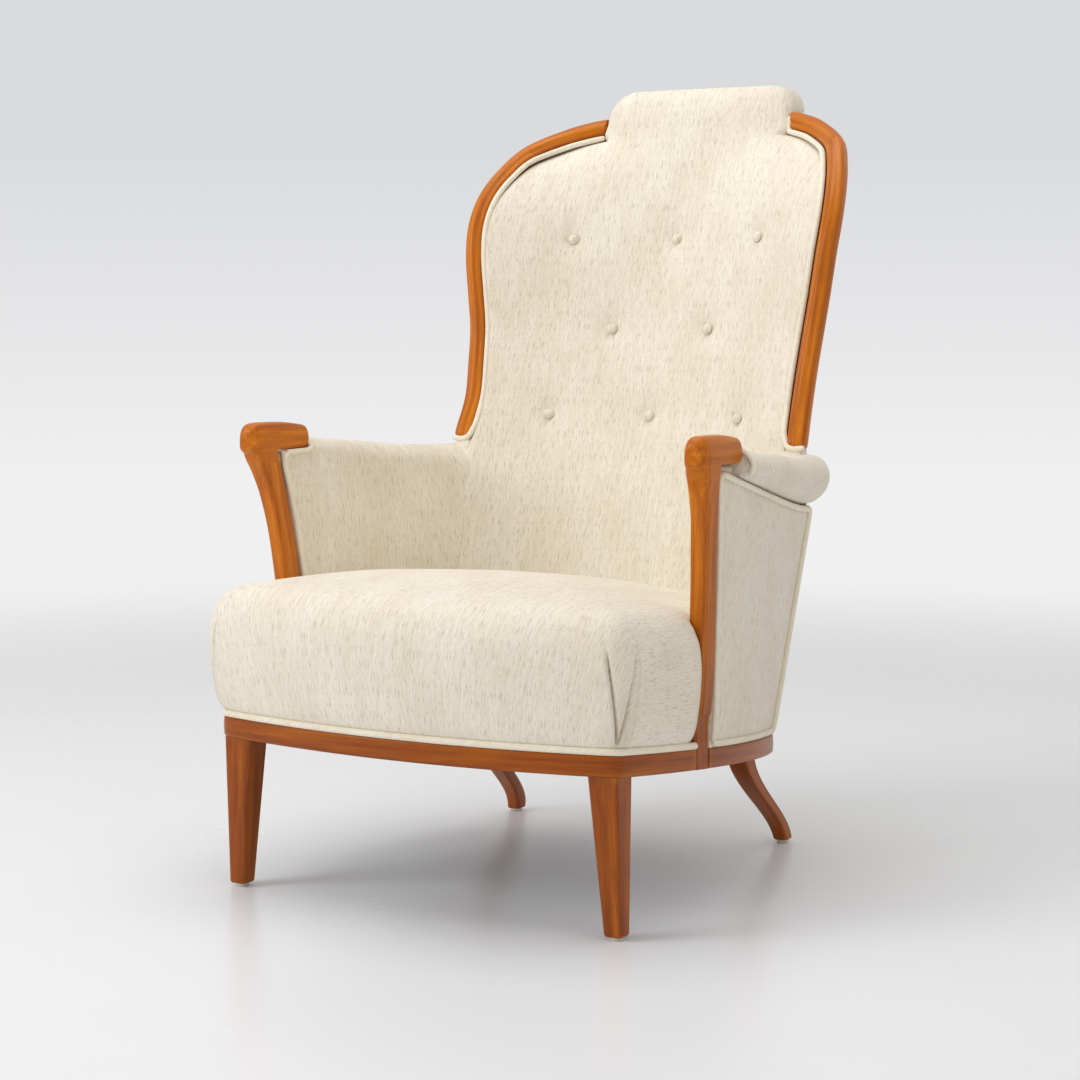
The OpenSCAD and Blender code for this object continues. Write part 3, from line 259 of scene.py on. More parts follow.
def metal(name, light, dark, rough):
    r = Recipe(name)
    drawn = r.noise(r.where(), 500.0)
    return r.finish(Base_Color=r.blend(drawn, dark, light), Metallic=1.0,
                    Roughness=rough + drawn * 0.15, Normal=r.bump(drawn, 0.0001, 0.4))


def nylon():
    r = Recipe("glide_plastic")
    scuffs = r.noise(r.where(), (240.0, 240.0, 900.0), 3.0)
    base = r.blend(scuffs.over(0.55, 0.75) * 0.5, "DDD6C6", "9B9384")
    return r.finish(Base_Color=base, Roughness=0.4 + scuffs * 0.25, Normal=r.bump(scuffs, 0.0001, 0.5))


FINISH = {
    "show_wood": show_wood(), "stuffing": stuffing_fibre(), "glide_plastic": nylon(),
    "wool": wool_cloth("wool", "F5EFE1", "EADFCC", "A2957C", 0.44, 0.0016),
    "welt_wool": wool_cloth("welt_wool", "F8F1E1", "F0E6D0", "C9BB9F", 0.3, 0.0012),
    "jute": plain_cloth("jute", "C9A873", "7D6238", 0.0032),
    "dust_cloth": plain_cloth("dust_cloth", "3A3A3C", "1C1C1E", 0.0012),
    "spring_steel": metal("spring_steel", "9A9DA3", "6E7177", 0.35),
    "screw_steel": metal("screw_steel", "B9BCC0", "8E9196", 0.3),
}
print("finishes", sorted(FINISH))

# %% [markdown]
# ## The chair's own geometry
# These curves repeat the CAD part's, in millimetres, so that each modelled piece lies where its
# solid does. Distances called `back` run from the front corners of the seat frame to the rear.
# Everything is made on the right of the chair and mirrored.

# %% Sizes and curves of the seat frame
MM = 0.001
FRAME_D, HALF_W, REAR_HALF_W = 512.0, 288.0, 248.0
SIDE_SWELL, FRONT_BOW, REAR_BOW = 23.0, 38.0, 30.0
RAIL_Z, SIDE_DROP, SHOW_H, RAIL_H, RAIL_T, REBATE = 197.0, 51.0, 26.0, 56.0, 42.0, 12.0
CORNER_R, REAR_CORNER_R, MARGIN, FIT = 18.0, 30.0, 3.0, 0.3
SEAT_Z, CREST_Z, CREST_HALF_W = 425.0, 1057.0, 149.0
FRONT_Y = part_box("seat_cover")[0].y / MM + FRONT_BOW + 16.0
SIDES = (("right_", 1), ("left_", -1))


def place(back):
    return FRONT_Y + back


def mix(a, b, t):
    return a + (b - a) * t


def smooth(x, low, high):
    t = np.clip((np.asarray(x, float) - low) / (high - low), 0, 1)
    return t * t * (3 - 2 * t)


def bell(x, width):
    return np.exp(-(np.asarray(x, float) / width) ** 2)


def curve_at(points, t):
    """A smooth curve through a list of points, t from 0 to 1."""
    points = np.asarray(points, float)
    last = len(points) - 1
    t = np.clip(np.atleast_1d(np.asarray(t, float)), 0, 1) * last
    i = np.minimum(last - 1, np.floor(t).astype(int))
    u = (t - i)[:, None]
    a, b = points[np.maximum(0, i - 1)], points[i]
    c, d = points[i + 1], points[np.minimum(last, i + 2)]
    return (2 * b + (c - a) * u + (2 * a - 5 * b + 4 * c - d) * u ** 2
            + (3 * b - a - 3 * c + d) * u ** 3) / 2


def bezier(points, t):
    points = [np.asarray(p, float) for p in points]
    while len(points) > 1:
        points = [mix(a, b, t) for a, b in zip(points, points[1:])]
    return points[0]


def rail_bottom(y):
    return RAIL_Z - np.maximum(0, y - FRONT_Y) * SIDE_DROP / FRAME_D


def front_edge(x, inset):
    return place(inset) - FRONT_BOW * (1 - (x / HALF_W) ** 2)


def rear_edge(x, inset):
    return place(FRAME_D - inset) + REAR_BOW * (1 - (x / REAR_HALF_W) ** 2)


def side_point(t, inset):
    swollen = HALF_W + SIDE_SWELL - inset
    return bezier([(HALF_W - inset, place(inset)), (swollen, place(FRAME_D * 0.28)),
                   (swollen, place(FRAME_D * 0.73)), (REAR_HALF_W - inset, place(FRAME_D - inset))], t)


def side_x(back, inset):
    return side_point(min(1, max(0, back / FRAME_D)), inset)[0]


def frame_half(inset):
    """The right half of the frame's outline, from the middle of the front to that of the rear."""
    def corner(start, x, y, end):
        return [bezier([start, (x, y), end], i / 8) for i in range(1, 9)]

    r, rear_r = max(2.0, CORNER_R - inset), max(2.0, REAR_CORNER_R - inset)
    x1, x2 = HALF_W - inset - r, REAR_HALF_W - inset - rear_r
    t1, t2 = r / FRAME_D, 1 - rear_r / FRAME_D
    line = [(x1 * i / 24, front_edge(x1 * i / 24, inset)) for i in range(25)]
    line += corner(line[-1], HALF_W - inset, front_edge(HALF_W - inset, inset), side_point(t1, inset))
    line += [side_point(mix(t1, t2, i / 48), inset) for i in range(1, 49)]
    line += corner(line[-1], REAR_HALF_W - inset, rear_edge(REAR_HALF_W - inset, inset),
                   (x2, rear_edge(x2, inset)))
    line += [(x2 * (1 - i / 24), rear_edge(x2 * (1 - i / 24), inset)) for i in range(1, 25)]
    return np.array([tuple(p) for p in line])


print("front corners at y", round(FRONT_Y, 2))

# %% [markdown]
# ## One way to make a skin
# Nearly every piece is a tube or a sheet over a grid of points. One helper joins such a grid into
# faces, turns them outwards by the sign of the volume, keeps sharp edges sharp, and writes the
# `grain` or `weave` coordinates that the finishes read.

# %% Skins over grids of points
def unit(v):
    return v / np.linalg.norm(v, axis=-1, keepdims=True)


def arc_length(line):
    return np.concatenate([[0], np.cumsum(np.linalg.norm(np.diff(line, axis=0), axis=1))])


def quads(rows, columns, closed):
    last = columns if closed else columns - 1
    i, j = np.meshgrid(np.arange(rows - 1), np.arange(last), indexing="ij")
    k = (j + 1) % columns
    faces = [i * columns + j, i * columns + k, (i + 1) * columns + k, (i + 1) * columns + j]
    return np.stack(faces, -1).reshape(-1, 4).tolist()


def capped(rows, columns):
    ends = [list(range(columns))[::-1], [(rows - 1) * columns + j for j in range(columns)]]
    return quads(rows, columns, True) + ends


def outwards(points, faces):
    """The faces, all turned over if they enclose a negative volume."""
    total = 0.0
    for face in faces:
        a = points[face[0]]
        for b, c in zip(face[1:], face[2:]):
            total += np.dot(a, np.cross(points[b], points[c]))
    return [face[::-1] for face in faces] if total < 0 else faces


def merged(parts):
    """Points and faces of several capped tubes."""
    points, faces = [], []
    for rings in parts:
        flat = np.reshape(rings, (-1, 3))
        own = outwards(flat, capped(*np.shape(rings)[:2]))
        faces += [[len(points) + v for v in face] for face in own]
        points += flat.tolist()
    return np.array(points), faces


def dress(mesh, finish, coordinates):
    """Smooth shading, a finish, and its grain or weave coordinates."""
    mesh.polygons.foreach_set("use_smooth", [True] * len(mesh.polygons))
    layer = mesh.attributes.new("grain" if "wood" in finish else "weave", "FLOAT_VECTOR", "POINT")
    layer.data.foreach_set("vector", (np.reshape(coordinates, -1) * MM).astype(np.float32))
    mesh.materials.append(FINISH[finish])


def new_piece(name, points, faces, finish, coordinates, angle=38.0):
    """Make an object from points in millimetres."""
    points = np.asarray(points, float)
    mesh = bpy.data.meshes.new(name)
    mesh.from_pydata((points * MM).tolist(), [], outwards(points, faces))
    dress(mesh, finish, coordinates)
    mesh.set_sharp_from_angle(angle=radians(angle))
    return linked(name, mesh)


def on_cloth(rings):
    """Distance along the rows and down the columns of a grid, measured on the cloth."""
    rings = np.asarray(rings, float)
    out = np.zeros_like(rings)
    out[:, 1:, 0] = np.cumsum(np.linalg.norm(np.diff(rings, axis=1), axis=2), axis=1)
    out[..., 0] -= out[:, [rings.shape[1] // 2], 0]
    out[1:, :, 1] = np.cumsum(np.linalg.norm(np.diff(rings, axis=0), axis=2).mean(1))[:, None]
    return out


def tube(name, rings, finish, coordinates=None, angle=38.0):
    """A skin over closed rings of equal length, with flat ends."""
    rings = np.asarray(rings, float)
    coordinates = on_cloth(rings) if coordinates is None else coordinates
    return new_piece(name, rings.reshape(-1, 3), capped(*rings.shape[:2]), finish, coordinates, angle)


def shell(name, front, rear, finish, coordinates=None, angle=38.0):
    """A closed sheet between two grids of equal size."""
    front, rear = np.asarray(front, float), np.asarray(rear, float)
    rows, columns = front.shape[:2]
    count = rows * columns
    faces = quads(rows, columns, False)
    faces += [[count + v for v in face[::-1]] for face in faces]
    rim = list(range(columns)) + [i * columns + columns - 1 for i in range(1, rows)]
    rim += [(rows - 1) * columns + j for j in range(columns - 2, -1, -1)]
    rim += [i * columns for i in range(rows - 2, 0, -1)]
    faces += [[b, a, count + a, count + b] for a, b in zip(rim, rim[1:] + rim[:1])]
    coordinates = np.stack([on_cloth(front)] * 2) if coordinates is None else coordinates
    points = np.concatenate([front.reshape(-1, 3), rear.reshape(-1, 3)])
    return new_piece(name, points, faces, finish, coordinates, angle)


def cord_rings(path, radius, count=14):
    """Rings of a round cord; the frame is carried along the path without twisting."""
    path, rings = np.asarray(path, float), []
    across = np.array((1.0, 0.0, 0.0))
    turn = np.linspace(0, 2 * pi, count, endpoint=False)
    for p, w in zip(path, unit(np.gradient(path, axis=0))):
        across = unit(across - w * across.dot(w))
        up = np.cross(w, across)
        rings.append(p + radius * (np.outer(np.cos(turn), across) + np.outer(np.sin(turn), up)))
    return np.array(rings)


def bias(length, round_it):
    """Weave of a strip cut on the bias, so that its yarn runs round the cord at a slant."""
    a, b = length[:, None] * 0.7, round_it[None] * 0.7
    return np.stack([a + b, a - b, np.zeros_like(a + b)], -1)


def cord(name, path, radius):
    """A piping whose ends are drawn in a little, as a sewn end is."""
    rings = cord_rings(path, radius)
    for k, share in ((0, 0.55), (1, 0.9)):
        for end in (k, -1 - k):
            rings[end] = mix(rings[end].mean(0), rings[end], share)
    round_it = np.linspace(0, 2 * pi * radius, rings.shape[1], endpoint=False)
    return tube(name, rings, "welt_wool", bias(arc_length(path), round_it))


def smooth_path(path, pitch, rounds):
    """The same path in equal steps, with its corners eased."""
    path = np.asarray(path, float)
    s = arc_length(path)
    at = np.linspace(0, s[-1], max(3, int(s[-1] / pitch)))
    path = np.stack([np.interp(at, s, path[:, k]) for k in range(3)], -1)
    for _ in range(rounds):
        path[1:-1] = (path[:-2] + 2 * path[1:-1] + path[2:]) / 4
    return path


def sided(rings, side=-1):
    """The rings themselves for side 1, and their mirror image for side -1."""
    return np.array(rings, float) * (side, 1, 1)


def settle(piece):
    """A piece called NODE_shown rides on the chair and stands for NODE."""
    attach(piece, "root")
    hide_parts(piece.name.removesuffix("_shown"))
    print(piece.name, len(piece.data.vertices), "points")
    return piece


# %% [markdown]
# ## The polished rails
# One band of show wood runs round the seat under the cover. Its arrises are eased by hand, which
# gives the thin line of light along the edge. The section, with its tacking rebate, is swept
# along the frame's outline.

# %% Rails
def arc_points(centre, radius, first, last, steps):
    turns = np.radians(np.linspace(first, last, steps))
    return [(centre[0] + radius * cos(a), centre[1] + radius * sin(a)) for a in turns]


LOWER_ARRIS, UPPER_ARRIS, HOLD = 4.0, 2.2, 0.7
POST_BACK, POST_D = 174.0, 36.0
SIDE_RAIL_START = POST_BACK + POST_D + FIT
REAR_JOINT_X = REAR_HALF_W - RAIL_T - 20.0
# Inset and height of the points round the section of a rail
rail_section = ([(RAIL_T, 0.0), (LOWER_ARRIS + HOLD, 0.0)]
                + arc_points((LOWER_ARRIS, LOWER_ARRIS), LOWER_ARRIS, 270, 180, 7)
                + [(0.0, LOWER_ARRIS + HOLD), (-0.5, SHOW_H / 2), (0.0, SHOW_H - UPPER_ARRIS - HOLD)]
                + arc_points((UPPER_ARRIS, SHOW_H - UPPER_ARRIS), UPPER_ARRIS, 180, 90, 5)
                + [(UPPER_ARRIS + HOLD, SHOW_H), (REBATE - FIT, SHOW_H), (REBATE - FIT, RAIL_H),
                   (RAIL_T, RAIL_H)])


def rail_rings(keep):
    """Rings and grain along the right half of the outline, where keep accepts the place."""
    lines = {inset: frame_half(inset) for inset, _ in rail_section}
    outer = frame_half(0.0)
    length = arc_length(outer)
    chosen = [k for k, (x, y) in enumerate(outer) if keep(x, y)]
    rings = [[(*lines[inset][k], h) for inset, h in rail_section] for k in chosen]
    return np.array(rings), np.array([[(length[k], *p) for p in rail_section] for k in chosen])


def show_rail(name, rings, grain):
    rings = np.array(rings)
    rings[..., 2] += rail_bottom(rings[..., 1])
    settle(tube(name + "_shown", rings, "show_wood", grain))


half, grain = rail_rings(lambda x, y: y < place(POST_BACK) + 4)
half[-1, :, 1] = place(POST_BACK - FIT)
show_rail("front_rail", np.concatenate([sided(half)[:0:-1], half]),
          np.concatenate([sided(grain)[:0:-1], grain]))

half, grain = rail_rings(lambda x, y: y > place(SIDE_RAIL_START) - 6 and x > REAR_JOINT_X - 5)
half[0, :, 1], half[-1, :, 0] = place(SIDE_RAIL_START), REAR_JOINT_X
for name, side in SIDES:
    show_rail(name + "side_rail", sided(half, side), grain + (350.0 * (1 - side), 0, 0))

half, grain = rail_rings(lambda x, y: y > place(FRAME_D) and x < REAR_JOINT_X + 4)
half[0, :, 0] = REAR_JOINT_X - FIT
beyond = sided(grain) + (2 * grain[-1, 0, 0], 0, 0)
show_rail("rear_rail", np.concatenate([half, sided(half)[-2::-1]]),
          np.concatenate([grain, beyond[-2::-1]]) + (1500.0, 0, 0))

# %% [markdown]
# ## The legs
# The front legs taper on all four sides, and the rear legs are sawn in a long S. Both are square
# in section with the arrises rounded over, so a rounded rectangle is lofted from foot to rail.

# %% Legs and glides
def rounded_rect(w, d, r, steps=6):
    """Points round a rectangle with rounded corners, and one beside each rounding to hold it."""
    out = []
    for sx, sy, first in ((1, 1, 0), (-1, 1, 90), (-1, -1, 180), (1, -1, 270)):
        arc = arc_points((sx * (w / 2 - r), sy * (d / 2 - r)), r, first, first + 90, steps)
        hx, hy = 0.25 * r * sin(radians(first)), 0.25 * r * cos(radians(first))
        out += [(arc[0][0] + hx, arc[0][1] - hy)] + arc + [(arc[-1][0] - hy, arc[-1][1] - hx)]
    return out


GLIDE_H, FOOT_ROUND = 4.0, 2.5
GLIDE_PROFILE = [(6.4, 0.0), (7.8, 0.5), (8.5, 1.6), (8.5, GLIDE_H - 0.2)]
FRONT_LEG = (HALF_W - MARGIN - 20.0, MARGIN + 20.0)
FRONT_FOOT = (HALF_W - MARGIN / 2 - 12.0, MARGIN * 4 + 12.0)
REAR_LEG = (REAR_HALF_W - 15.0 - 28.0, FRAME_D - 15.0)


def front_leg_at(s):
    """Place across and back, width and extra depth of a leg at a share of its height."""
    return mix(FRONT_FOOT[0], FRONT_LEG[0], s), mix(FRONT_FOOT[1], FRONT_LEG[1], s), mix(24, 40, s), 0


def rear_leg_at(s):
    v = 1 - s
    return REAR_LEG[0] + 11 * v * v, REAR_LEG[1] + 116 * v * v * (3 - 2 * v), mix(20, 30, s), 3


def leg(name, where, side, turn):
    rings, grain = [], []
    for s in [0.0, 0.006, 0.015] + list(np.linspace(0.03, 1, 22)):
        x, back, w, extra = where(s)
        inset = FOOT_ROUND * (1 - min(1, s / 0.015)) ** 2
        section = rounded_rect(w - 2 * inset, w + extra - 2 * inset, 4.2 - inset)
        ring = [(x + px, place(back) + py) for px, py in section]
        rings.append([(side * px, py, mix(GLIDE_H, float(rail_bottom(py)), s)) for px, py in ring])
        grain.append([(z, px, py) for (px, py), (_, _, z) in zip(section, rings[-1])])
    grain = np.array(grain) + (turn, 3 * turn, 0)
    settle(tube(name + "_leg_shown", rings, "show_wood", grain))


leg("right_front", front_leg_at, 1, 0.0)
leg("left_front", front_leg_at, -1, 260.0)
leg("right_rear", rear_leg_at, 1, 510.0)
leg("left_rear", rear_leg_at, -1, 830.0)

TURN_30 = np.radians(np.arange(0, 360, 12))
glides = []
for where in (front_leg_at, rear_leg_at):
    foot_x, back = where(0.0)[:2]
    for x in (foot_x, -foot_x):
        glides.append([[(x + r * cos(a), place(back) + r * sin(a), z) for a in TURN_30]
                       for r, z in GLIDE_PROFILE])
points, faces = merged(glides)
settle(new_piece("foot_glides_shown", points, faces, "glide_plastic", points))

# %% [markdown]
# ## Arm posts with carved hand rests
# Each post sweeps forwards and outwards from the rail, is slimmest at half its height, and swells
# into a domed hand rest. Post and rest are two lofts, and a voxel remesh fuses them, which rounds
# the inner corners as a rasp would.

# %% Posts
POST_ROWS = np.array([  # shares of the rise, lean, sweep, width and depth
    [0, 0, 0, 1, 1], [0.15, 0, 0, 1, 1], [0.2, 0.14, 0.03, 0.97, 1], [0.37, 0.36, 0.2, 0.75, 0.97],
    [0.56, 0.48, 0.34, 0.7, 0.94], [0.72, 0.6, 0.48, 0.71, 0.92], [0.85, 0.74, 0.65, 0.74, 0.92],
    [0.94, 0.88, 0.85, 0.8, 0.97], [1, 1, 1, 0.87, 1.05], [1.04, 1.03, 1.02, 0.9, 1.1]])
# The shown post swells a little earlier than its solid, so that it runs into the rest in one line
SHOWN_ROWS = np.concatenate([POST_ROWS[:5], [
    [0.72, 0.6, 0.49, 0.72, 0.93], [0.84, 0.75, 0.67, 0.77, 0.95], [0.92, 0.88, 0.87, 0.87, 1.03],
    [0.98, 1.0, 1.08, 0.96, 1.15], [1.03, 1.05, 1.17, 1.0, 1.25]]])
HAND_ROWS = np.array([  # shares of the length, width, underside and top
    [0, 0.6, 0.1, 0.7], [0.02, 0.78, 0.02, 0.84], [0.06, 0.91, -0.06, 0.95],
    [0.15, 0.98, -0.08, 1], [0.4, 1, 0, 1], [0.65, 1, 0, 0.97], [0.88, 0.98, 0, 0.89],
    [0.97, 0.95, 0.02, 0.85], [1, 0.86, 0.08, 0.8]])
POST_W, POST_LEAN, POST_SWEEP = 31.0, 38.0, 48.0
HAND_Z, HAND_L, HAND_W, HAND_H, HAND_TURN = 552.0, 114.0, 32.0, 38.0, 5.0
post_foot_x = side_x(POST_BACK + POST_D / 2, 0)
post_foot_z = float(rail_bottom(place(POST_BACK)))
post_rise = HAND_Z - post_foot_z
hand_x = post_foot_x + POST_LEAN - HAND_W / 2 + MARGIN
hand_back = POST_BACK - POST_SWEEP - HAND_L / 8
TAIL_Y = place(hand_back + HAND_L)


def post_share(z, k, rows=POST_ROWS):
    return np.interp((np.asarray(z, float) - post_foot_z) / post_rise, rows[:, 0], rows[:, k])


def post_inner_x(z):
    return post_foot_x + POST_LEAN * post_share(z, 1) - POST_W * post_share(z, 3)


def post_front_y(z, rows=POST_ROWS):
    return place(POST_BACK - POST_SWEEP * post_share(z, 2, rows))


def post_rear_y(z):
    return post_front_y(z) + POST_D * post_share(z, 4)


def rounded(v, power):
    return np.sign(v) * np.abs(v) ** (2 / power)


def post_rings():
    rings = []
    for rise, lean, sweep, width, depth in curve_at(SHOWN_ROWS, np.linspace(0, 1, 90)):
        z, w, d = post_foot_z + post_rise * rise, POST_W * width, POST_D * depth
        x = post_foot_x + POST_LEAN * lean - w / 2
        y = place(POST_BACK - POST_SWEEP * sweep) + d / 2
        ring = [(x + px, y + py) for px, py in rounded_rect(w, d, 5.0)]
        rings.append([(px, py, z if rise > 0.002 else float(rail_bottom(py))) for px, py in ring])
    return rings


def hand_rings():
    turn = np.radians(np.linspace(0, 360, 56, endpoint=False))
    s, rings = np.sin(turn), []
    for along, width, low, high in curve_at(HAND_ROWS, np.linspace(0, 1, 60)):
        h = HAND_H * (high - low)
        px = rounded(np.cos(turn), 3.2) * (HAND_W * width / 2)
        # The top is a dome and the underside is nearly flat
        pz = np.where(s > 0, rounded(s, 2.4) * h * 0.62, rounded(s, 5.0) * h * 0.38)
        x, y = hand_x - HAND_TURN * along - px, np.full_like(px, place(hand_back + HAND_L * along))
        rings.append(np.stack([x, y, HAND_Z + HAND_H * low + h * 0.38 + pz], -1))
    return rings


def fused(name, parts, voxel, rounds):
    """One skin round several lofts: joined, remeshed in voxels and relaxed."""
    points, faces = merged(parts)
    mesh = bpy.data.meshes.new(name)
    mesh.from_pydata((points * MM).tolist(), [], faces)
    made = linked(name, mesh)
    remesh = made.modifiers.new("remesh", "REMESH")
    remesh.mode, remesh.voxel_size = "VOXEL", voxel * MM
    relax = made.modifiers.new("relax", "SMOOTH")
    relax.factor, relax.iterations = 0.5, rounds
    graph = bpy.context.evaluated_depsgraph_get()
    final = bpy.data.meshes.new_from_object(made.evaluated_get(graph))
    made.modifiers.clear()
    made.data = final
    bpy.data.meshes.remove(mesh)
    return made


def arm_post(name, side, turn):
    piece = fused(name, [sided(post_rings(), side), sided(hand_rings(), side)], 1.4, 7)
    mesh = piece.data
    points = np.zeros(len(mesh.vertices) * 3, np.float32)
    mesh.vertices.foreach_get("co", points)
    points = points.reshape(-1, 3).astype(float) / MM
    x, y, z = points.T * [[side], [1], [1]]
    # A quirk, a fine sunk line, runs up the outer face just behind the front arris
    outer = post_foot_x + POST_LEAN * post_share(z, 1, SHOWN_ROWS)
    sunk = bell(y - post_front_y(z, SHOWN_ROWS) - 7.0, 1.5) * (x > outer - 6)
    sunk = sunk * (1 - np.clip((z - HAND_Z - 14) / 12, 0, 1))
    points[:, 0] -= side * 1.5 * sunk * np.clip((z - post_foot_z - 58) / 8, 0, 1)
    mesh.vertices.foreach_set("co", (points * MM).astype(np.float32).ravel())
    # The grain runs up the post and turns along the hand rest
    share = smooth(z, HAND_Z - 14, HAND_Z + 2)
    along = mix(z, HAND_Z + (TAIL_Y - y) * 0.8, share)
    depth = mix(y + 0.13 * z, z * 1.1, share)
    dress(mesh, "show_wood", np.stack([along + turn, points[:, 0] - side * 0.1 * z, depth], -1))
    settle(piece)


for name, side in SIDES:
    arm_post(name + "arm_post_shown", side, 450.0 * (1 - side))

# %% [markdown]
# ## The back stiles
# One length of show wood curves round each side of the back, from the arm to the raised crest,
# moulded with a soft ridge that catches a long highlight. Upright and bend are two pieces
# scarfed together, so the grain jumps at the joint.

# %% Stiles
STILE_HALF_W, STILE_W, STILE_FOOT_Z, STILE_RISE = 280.0, 27.0, 564.0, 439.0
STILE_DEPTH, STILE_BACK = 221.0, FRAME_D + 36.0
RAKE = (STILE_DEPTH - 27.4) / (STILE_FOOT_Z + STILE_RISE - SEAT_Z)
BACK_FACE = np.array([0, -1, RAKE]) / hypot(1, RAKE)
STILE_END_X = CREST_HALF_W + FIT
STILE_ROWS = np.array([  # shares of the half width, depth and rise
    [0.936, 0, 0], [0.925, 0.09, 0.105], [0.932, 0.145, 0.219], [0.945, 0.195, 0.333],
    [0.968, 0.217, 0.446], [0.991, 0.238, 0.572], [1, 0.294, 0.674], [0.984, 0.394, 0.765],
    [0.939, 0.538, 0.845], [0.868, 0.697, 0.913], [0.721, 0.869, 0.966], [0.604, 0.955, 0.991],
    [STILE_END_X / STILE_HALF_W, 1, 1]])
stile_points = np.array([
    (STILE_HALF_W * a, place(STILE_BACK + STILE_DEPTH * b), STILE_FOOT_Z + STILE_RISE * c)
    for a, b, c in STILE_ROWS])


def stile_frame(t):
    """Middle, direction, outward and rearward unit vectors of the stile at shares t."""
    way = unit(curve_at(stile_points, np.minimum(1, t + 1 / 60))
               - curve_at(stile_points, np.maximum(0, t - 1 / 60)))
    out = unit(np.cross(way, BACK_FACE))
    return curve_at(stile_points, t), way, out, np.cross(way, out)


def stile_section():
    turn = np.radians(np.linspace(0, 360, 48, endpoint=False))
    o, b = (rounded(v, 2.9) * STILE_W / 2 for v in (np.cos(turn), np.sin(turn)))
    ridge = 1.9 * (1 - bell(o, 3.4)) + 1.2 * bell(np.abs(o) - 6.0, 2.4)
    return o, np.where(np.sin(turn) < 0, b + ridge, b)


def back_stile(name, side):
    middle, way, out, behind = stile_frame(np.linspace(0, 1, 130))
    o, b = stile_section()
    rings = middle[:, None] + out[:, None] * o[None, :, None] + behind[:, None] * b[None, :, None]
    rings[..., 0] = np.maximum(rings[..., 0], STILE_END_X)
    rings[-1, :, 0] = STILE_END_X
    # The foot reaches down to the arm and is rounded over
    foot = [middle[0] - way[0] * down + out[0] * o[:, None] * share + behind[0] * b[:, None] * share
            for down, share in ((12.0, 0.62), (11.0, 0.86), (8.0, 0.97), (3.0, 1.0))]
    rings = np.concatenate([foot, rings])
    scarf = np.where(np.arange(len(rings)) > 100, 37.0, 0.0)[:, None]
    length = arc_length(rings.mean(1))[:, None] + 650.0 * (1 - side)
    grain = np.stack([length + scarf * 9 + 0 * o, o + scarf, b + 0 * scarf], -1)
    settle(tube(name, sided(rings, side), "show_wood", grain, angle=60))


for name, side in SIDES:
    back_stile(name + "back_stile_shown", side)

# %% [markdown]
# ## The barrel back
# The back is one deep pad, hollow like the inside of a barrel and bounded by the stiles, with a
# boxed crest between their ends. Every row of its grid is a height, every column a share of the
# half width there. Its edge rolls over by the distance to the outline, and the pits and soft
# creases round the buttons are real geometry.

# %% Curves of the back
SEAM_X, PAD_BASE_Z, SHOULDER_R, CREST_T, BACK_T = REAR_HALF_W - MARGIN, 325.3, 42.0, 66.0, 50.0
WELT_ROOM, SHELF_Z, SEAM_BACK = 8.6, 1016.8, STILE_BACK - 49


def back_mid_y(z):
    return place(STILE_BACK + 8 + (z - SEAT_Z) * RAKE)


def seam_y(z):
    return place(SEAM_BACK + (z - SEAT_Z) * 0.3)


def barrel_power(z):
    return mix(2.3, 1.5, np.clip(1.5 * (z - SEAT_Z) / (CREST_Z - SEAT_Z), 0, 1))


def back_outline():
    """Rows of the pad: height, half width and the depth of the edge."""
    middle, way, _, _ = stile_frame(np.linspace(0, 1, 84))
    across = unit(np.stack([way[:, 2], 0 * way[:, 0], -way[:, 0]], 1))
    edge = middle - across * (STILE_W / 2 + WELT_ROOM - 3.2)
    rows = [(z, SEAM_X - FIT, seam_y(z)) for z in np.linspace(PAD_BASE_Z, edge[0, 2] - 8, 26)]
    rows += [(p[2], p[0], p[1] - STILE_W / 2 + MARGIN) for p in edge]
    top, tip = edge[-1, 2], rows[-1][2]
    for z in np.linspace(top + 2.5, CREST_Z - SHOULDER_R, 16):
        rows.append((z, CREST_HALF_W, mix(tip, back_mid_y(z), smooth(z, top, top + 18))))
    for a in np.radians(np.linspace(0, 84, 16)[1:]):
        z = CREST_Z - SHOULDER_R * (1 - sin(a))
        rows.append((z - 0.2, CREST_HALF_W - SHOULDER_R * (1 - cos(a)), back_mid_y(z)))
    return np.array(rows + [(CREST_Z, rows[-1][1] - 5, back_mid_y(CREST_Z))])


BACK_ROWS = back_outline()
BUTTONS = [(side * share * CREST_HALF_W, mix(SEAT_Z, CREST_Z, rise))
           for shares, rise in (((0, 0.993), 0.652), ((0.517,), 0.449), ((0, 1.013), 0.256))
           for share in shares for side in ((-1, 1) if share else (1,))]


def distance_to(x, z, line):
    """Least distance of each place on a face to a line of many short pieces."""
    points = np.stack([np.abs(x).ravel(), z.ravel()], 1)
    best = np.full(len(points), 1e9)
    for a, b in zip(line, line[1:]):
        along = b - a
        t = np.clip(((points - a) @ along) / max(1e-9, along @ along), 0, 1)
        best = np.minimum(best, np.linalg.norm(points - a - t[:, None] * along, axis=1))
    return best.reshape(x.shape)


def rolled(distance, depth, width):
    """How far a rolled edge falls back: a quarter of an ellipse."""
    t = 1 - np.clip(distance / width, 0, 1)
    return depth * (1 - np.sqrt(np.clip(1 - t * t, 0, 1)))


def softness(x, z, size, seed):
    """Slow unevenness of hand stuffing, the same on every run."""
    rng = np.random.default_rng(seed)
    total = np.zeros_like(np.asarray(x, float))
    for _ in range(9):
        a, b, c = rng.uniform(-1, 1), rng.uniform(-1, 1), rng.uniform(0, 6.28)
        total += np.sin((a * x + b * z) / size * 6.28 + c)
    return total / 4.5


EASE_L, EASE_D, EASE_WAY = 50.0, 9.4, np.array([-0.776, -0.63])


def ease(distance, z):
    """How far a face moves towards the crease between an arm and the back."""
    near = np.clip(1 - np.asarray(distance, float) / EASE_L, 0, 1)
    return EASE_D * near ** 2 * (1 - smooth(z, 490, 548))


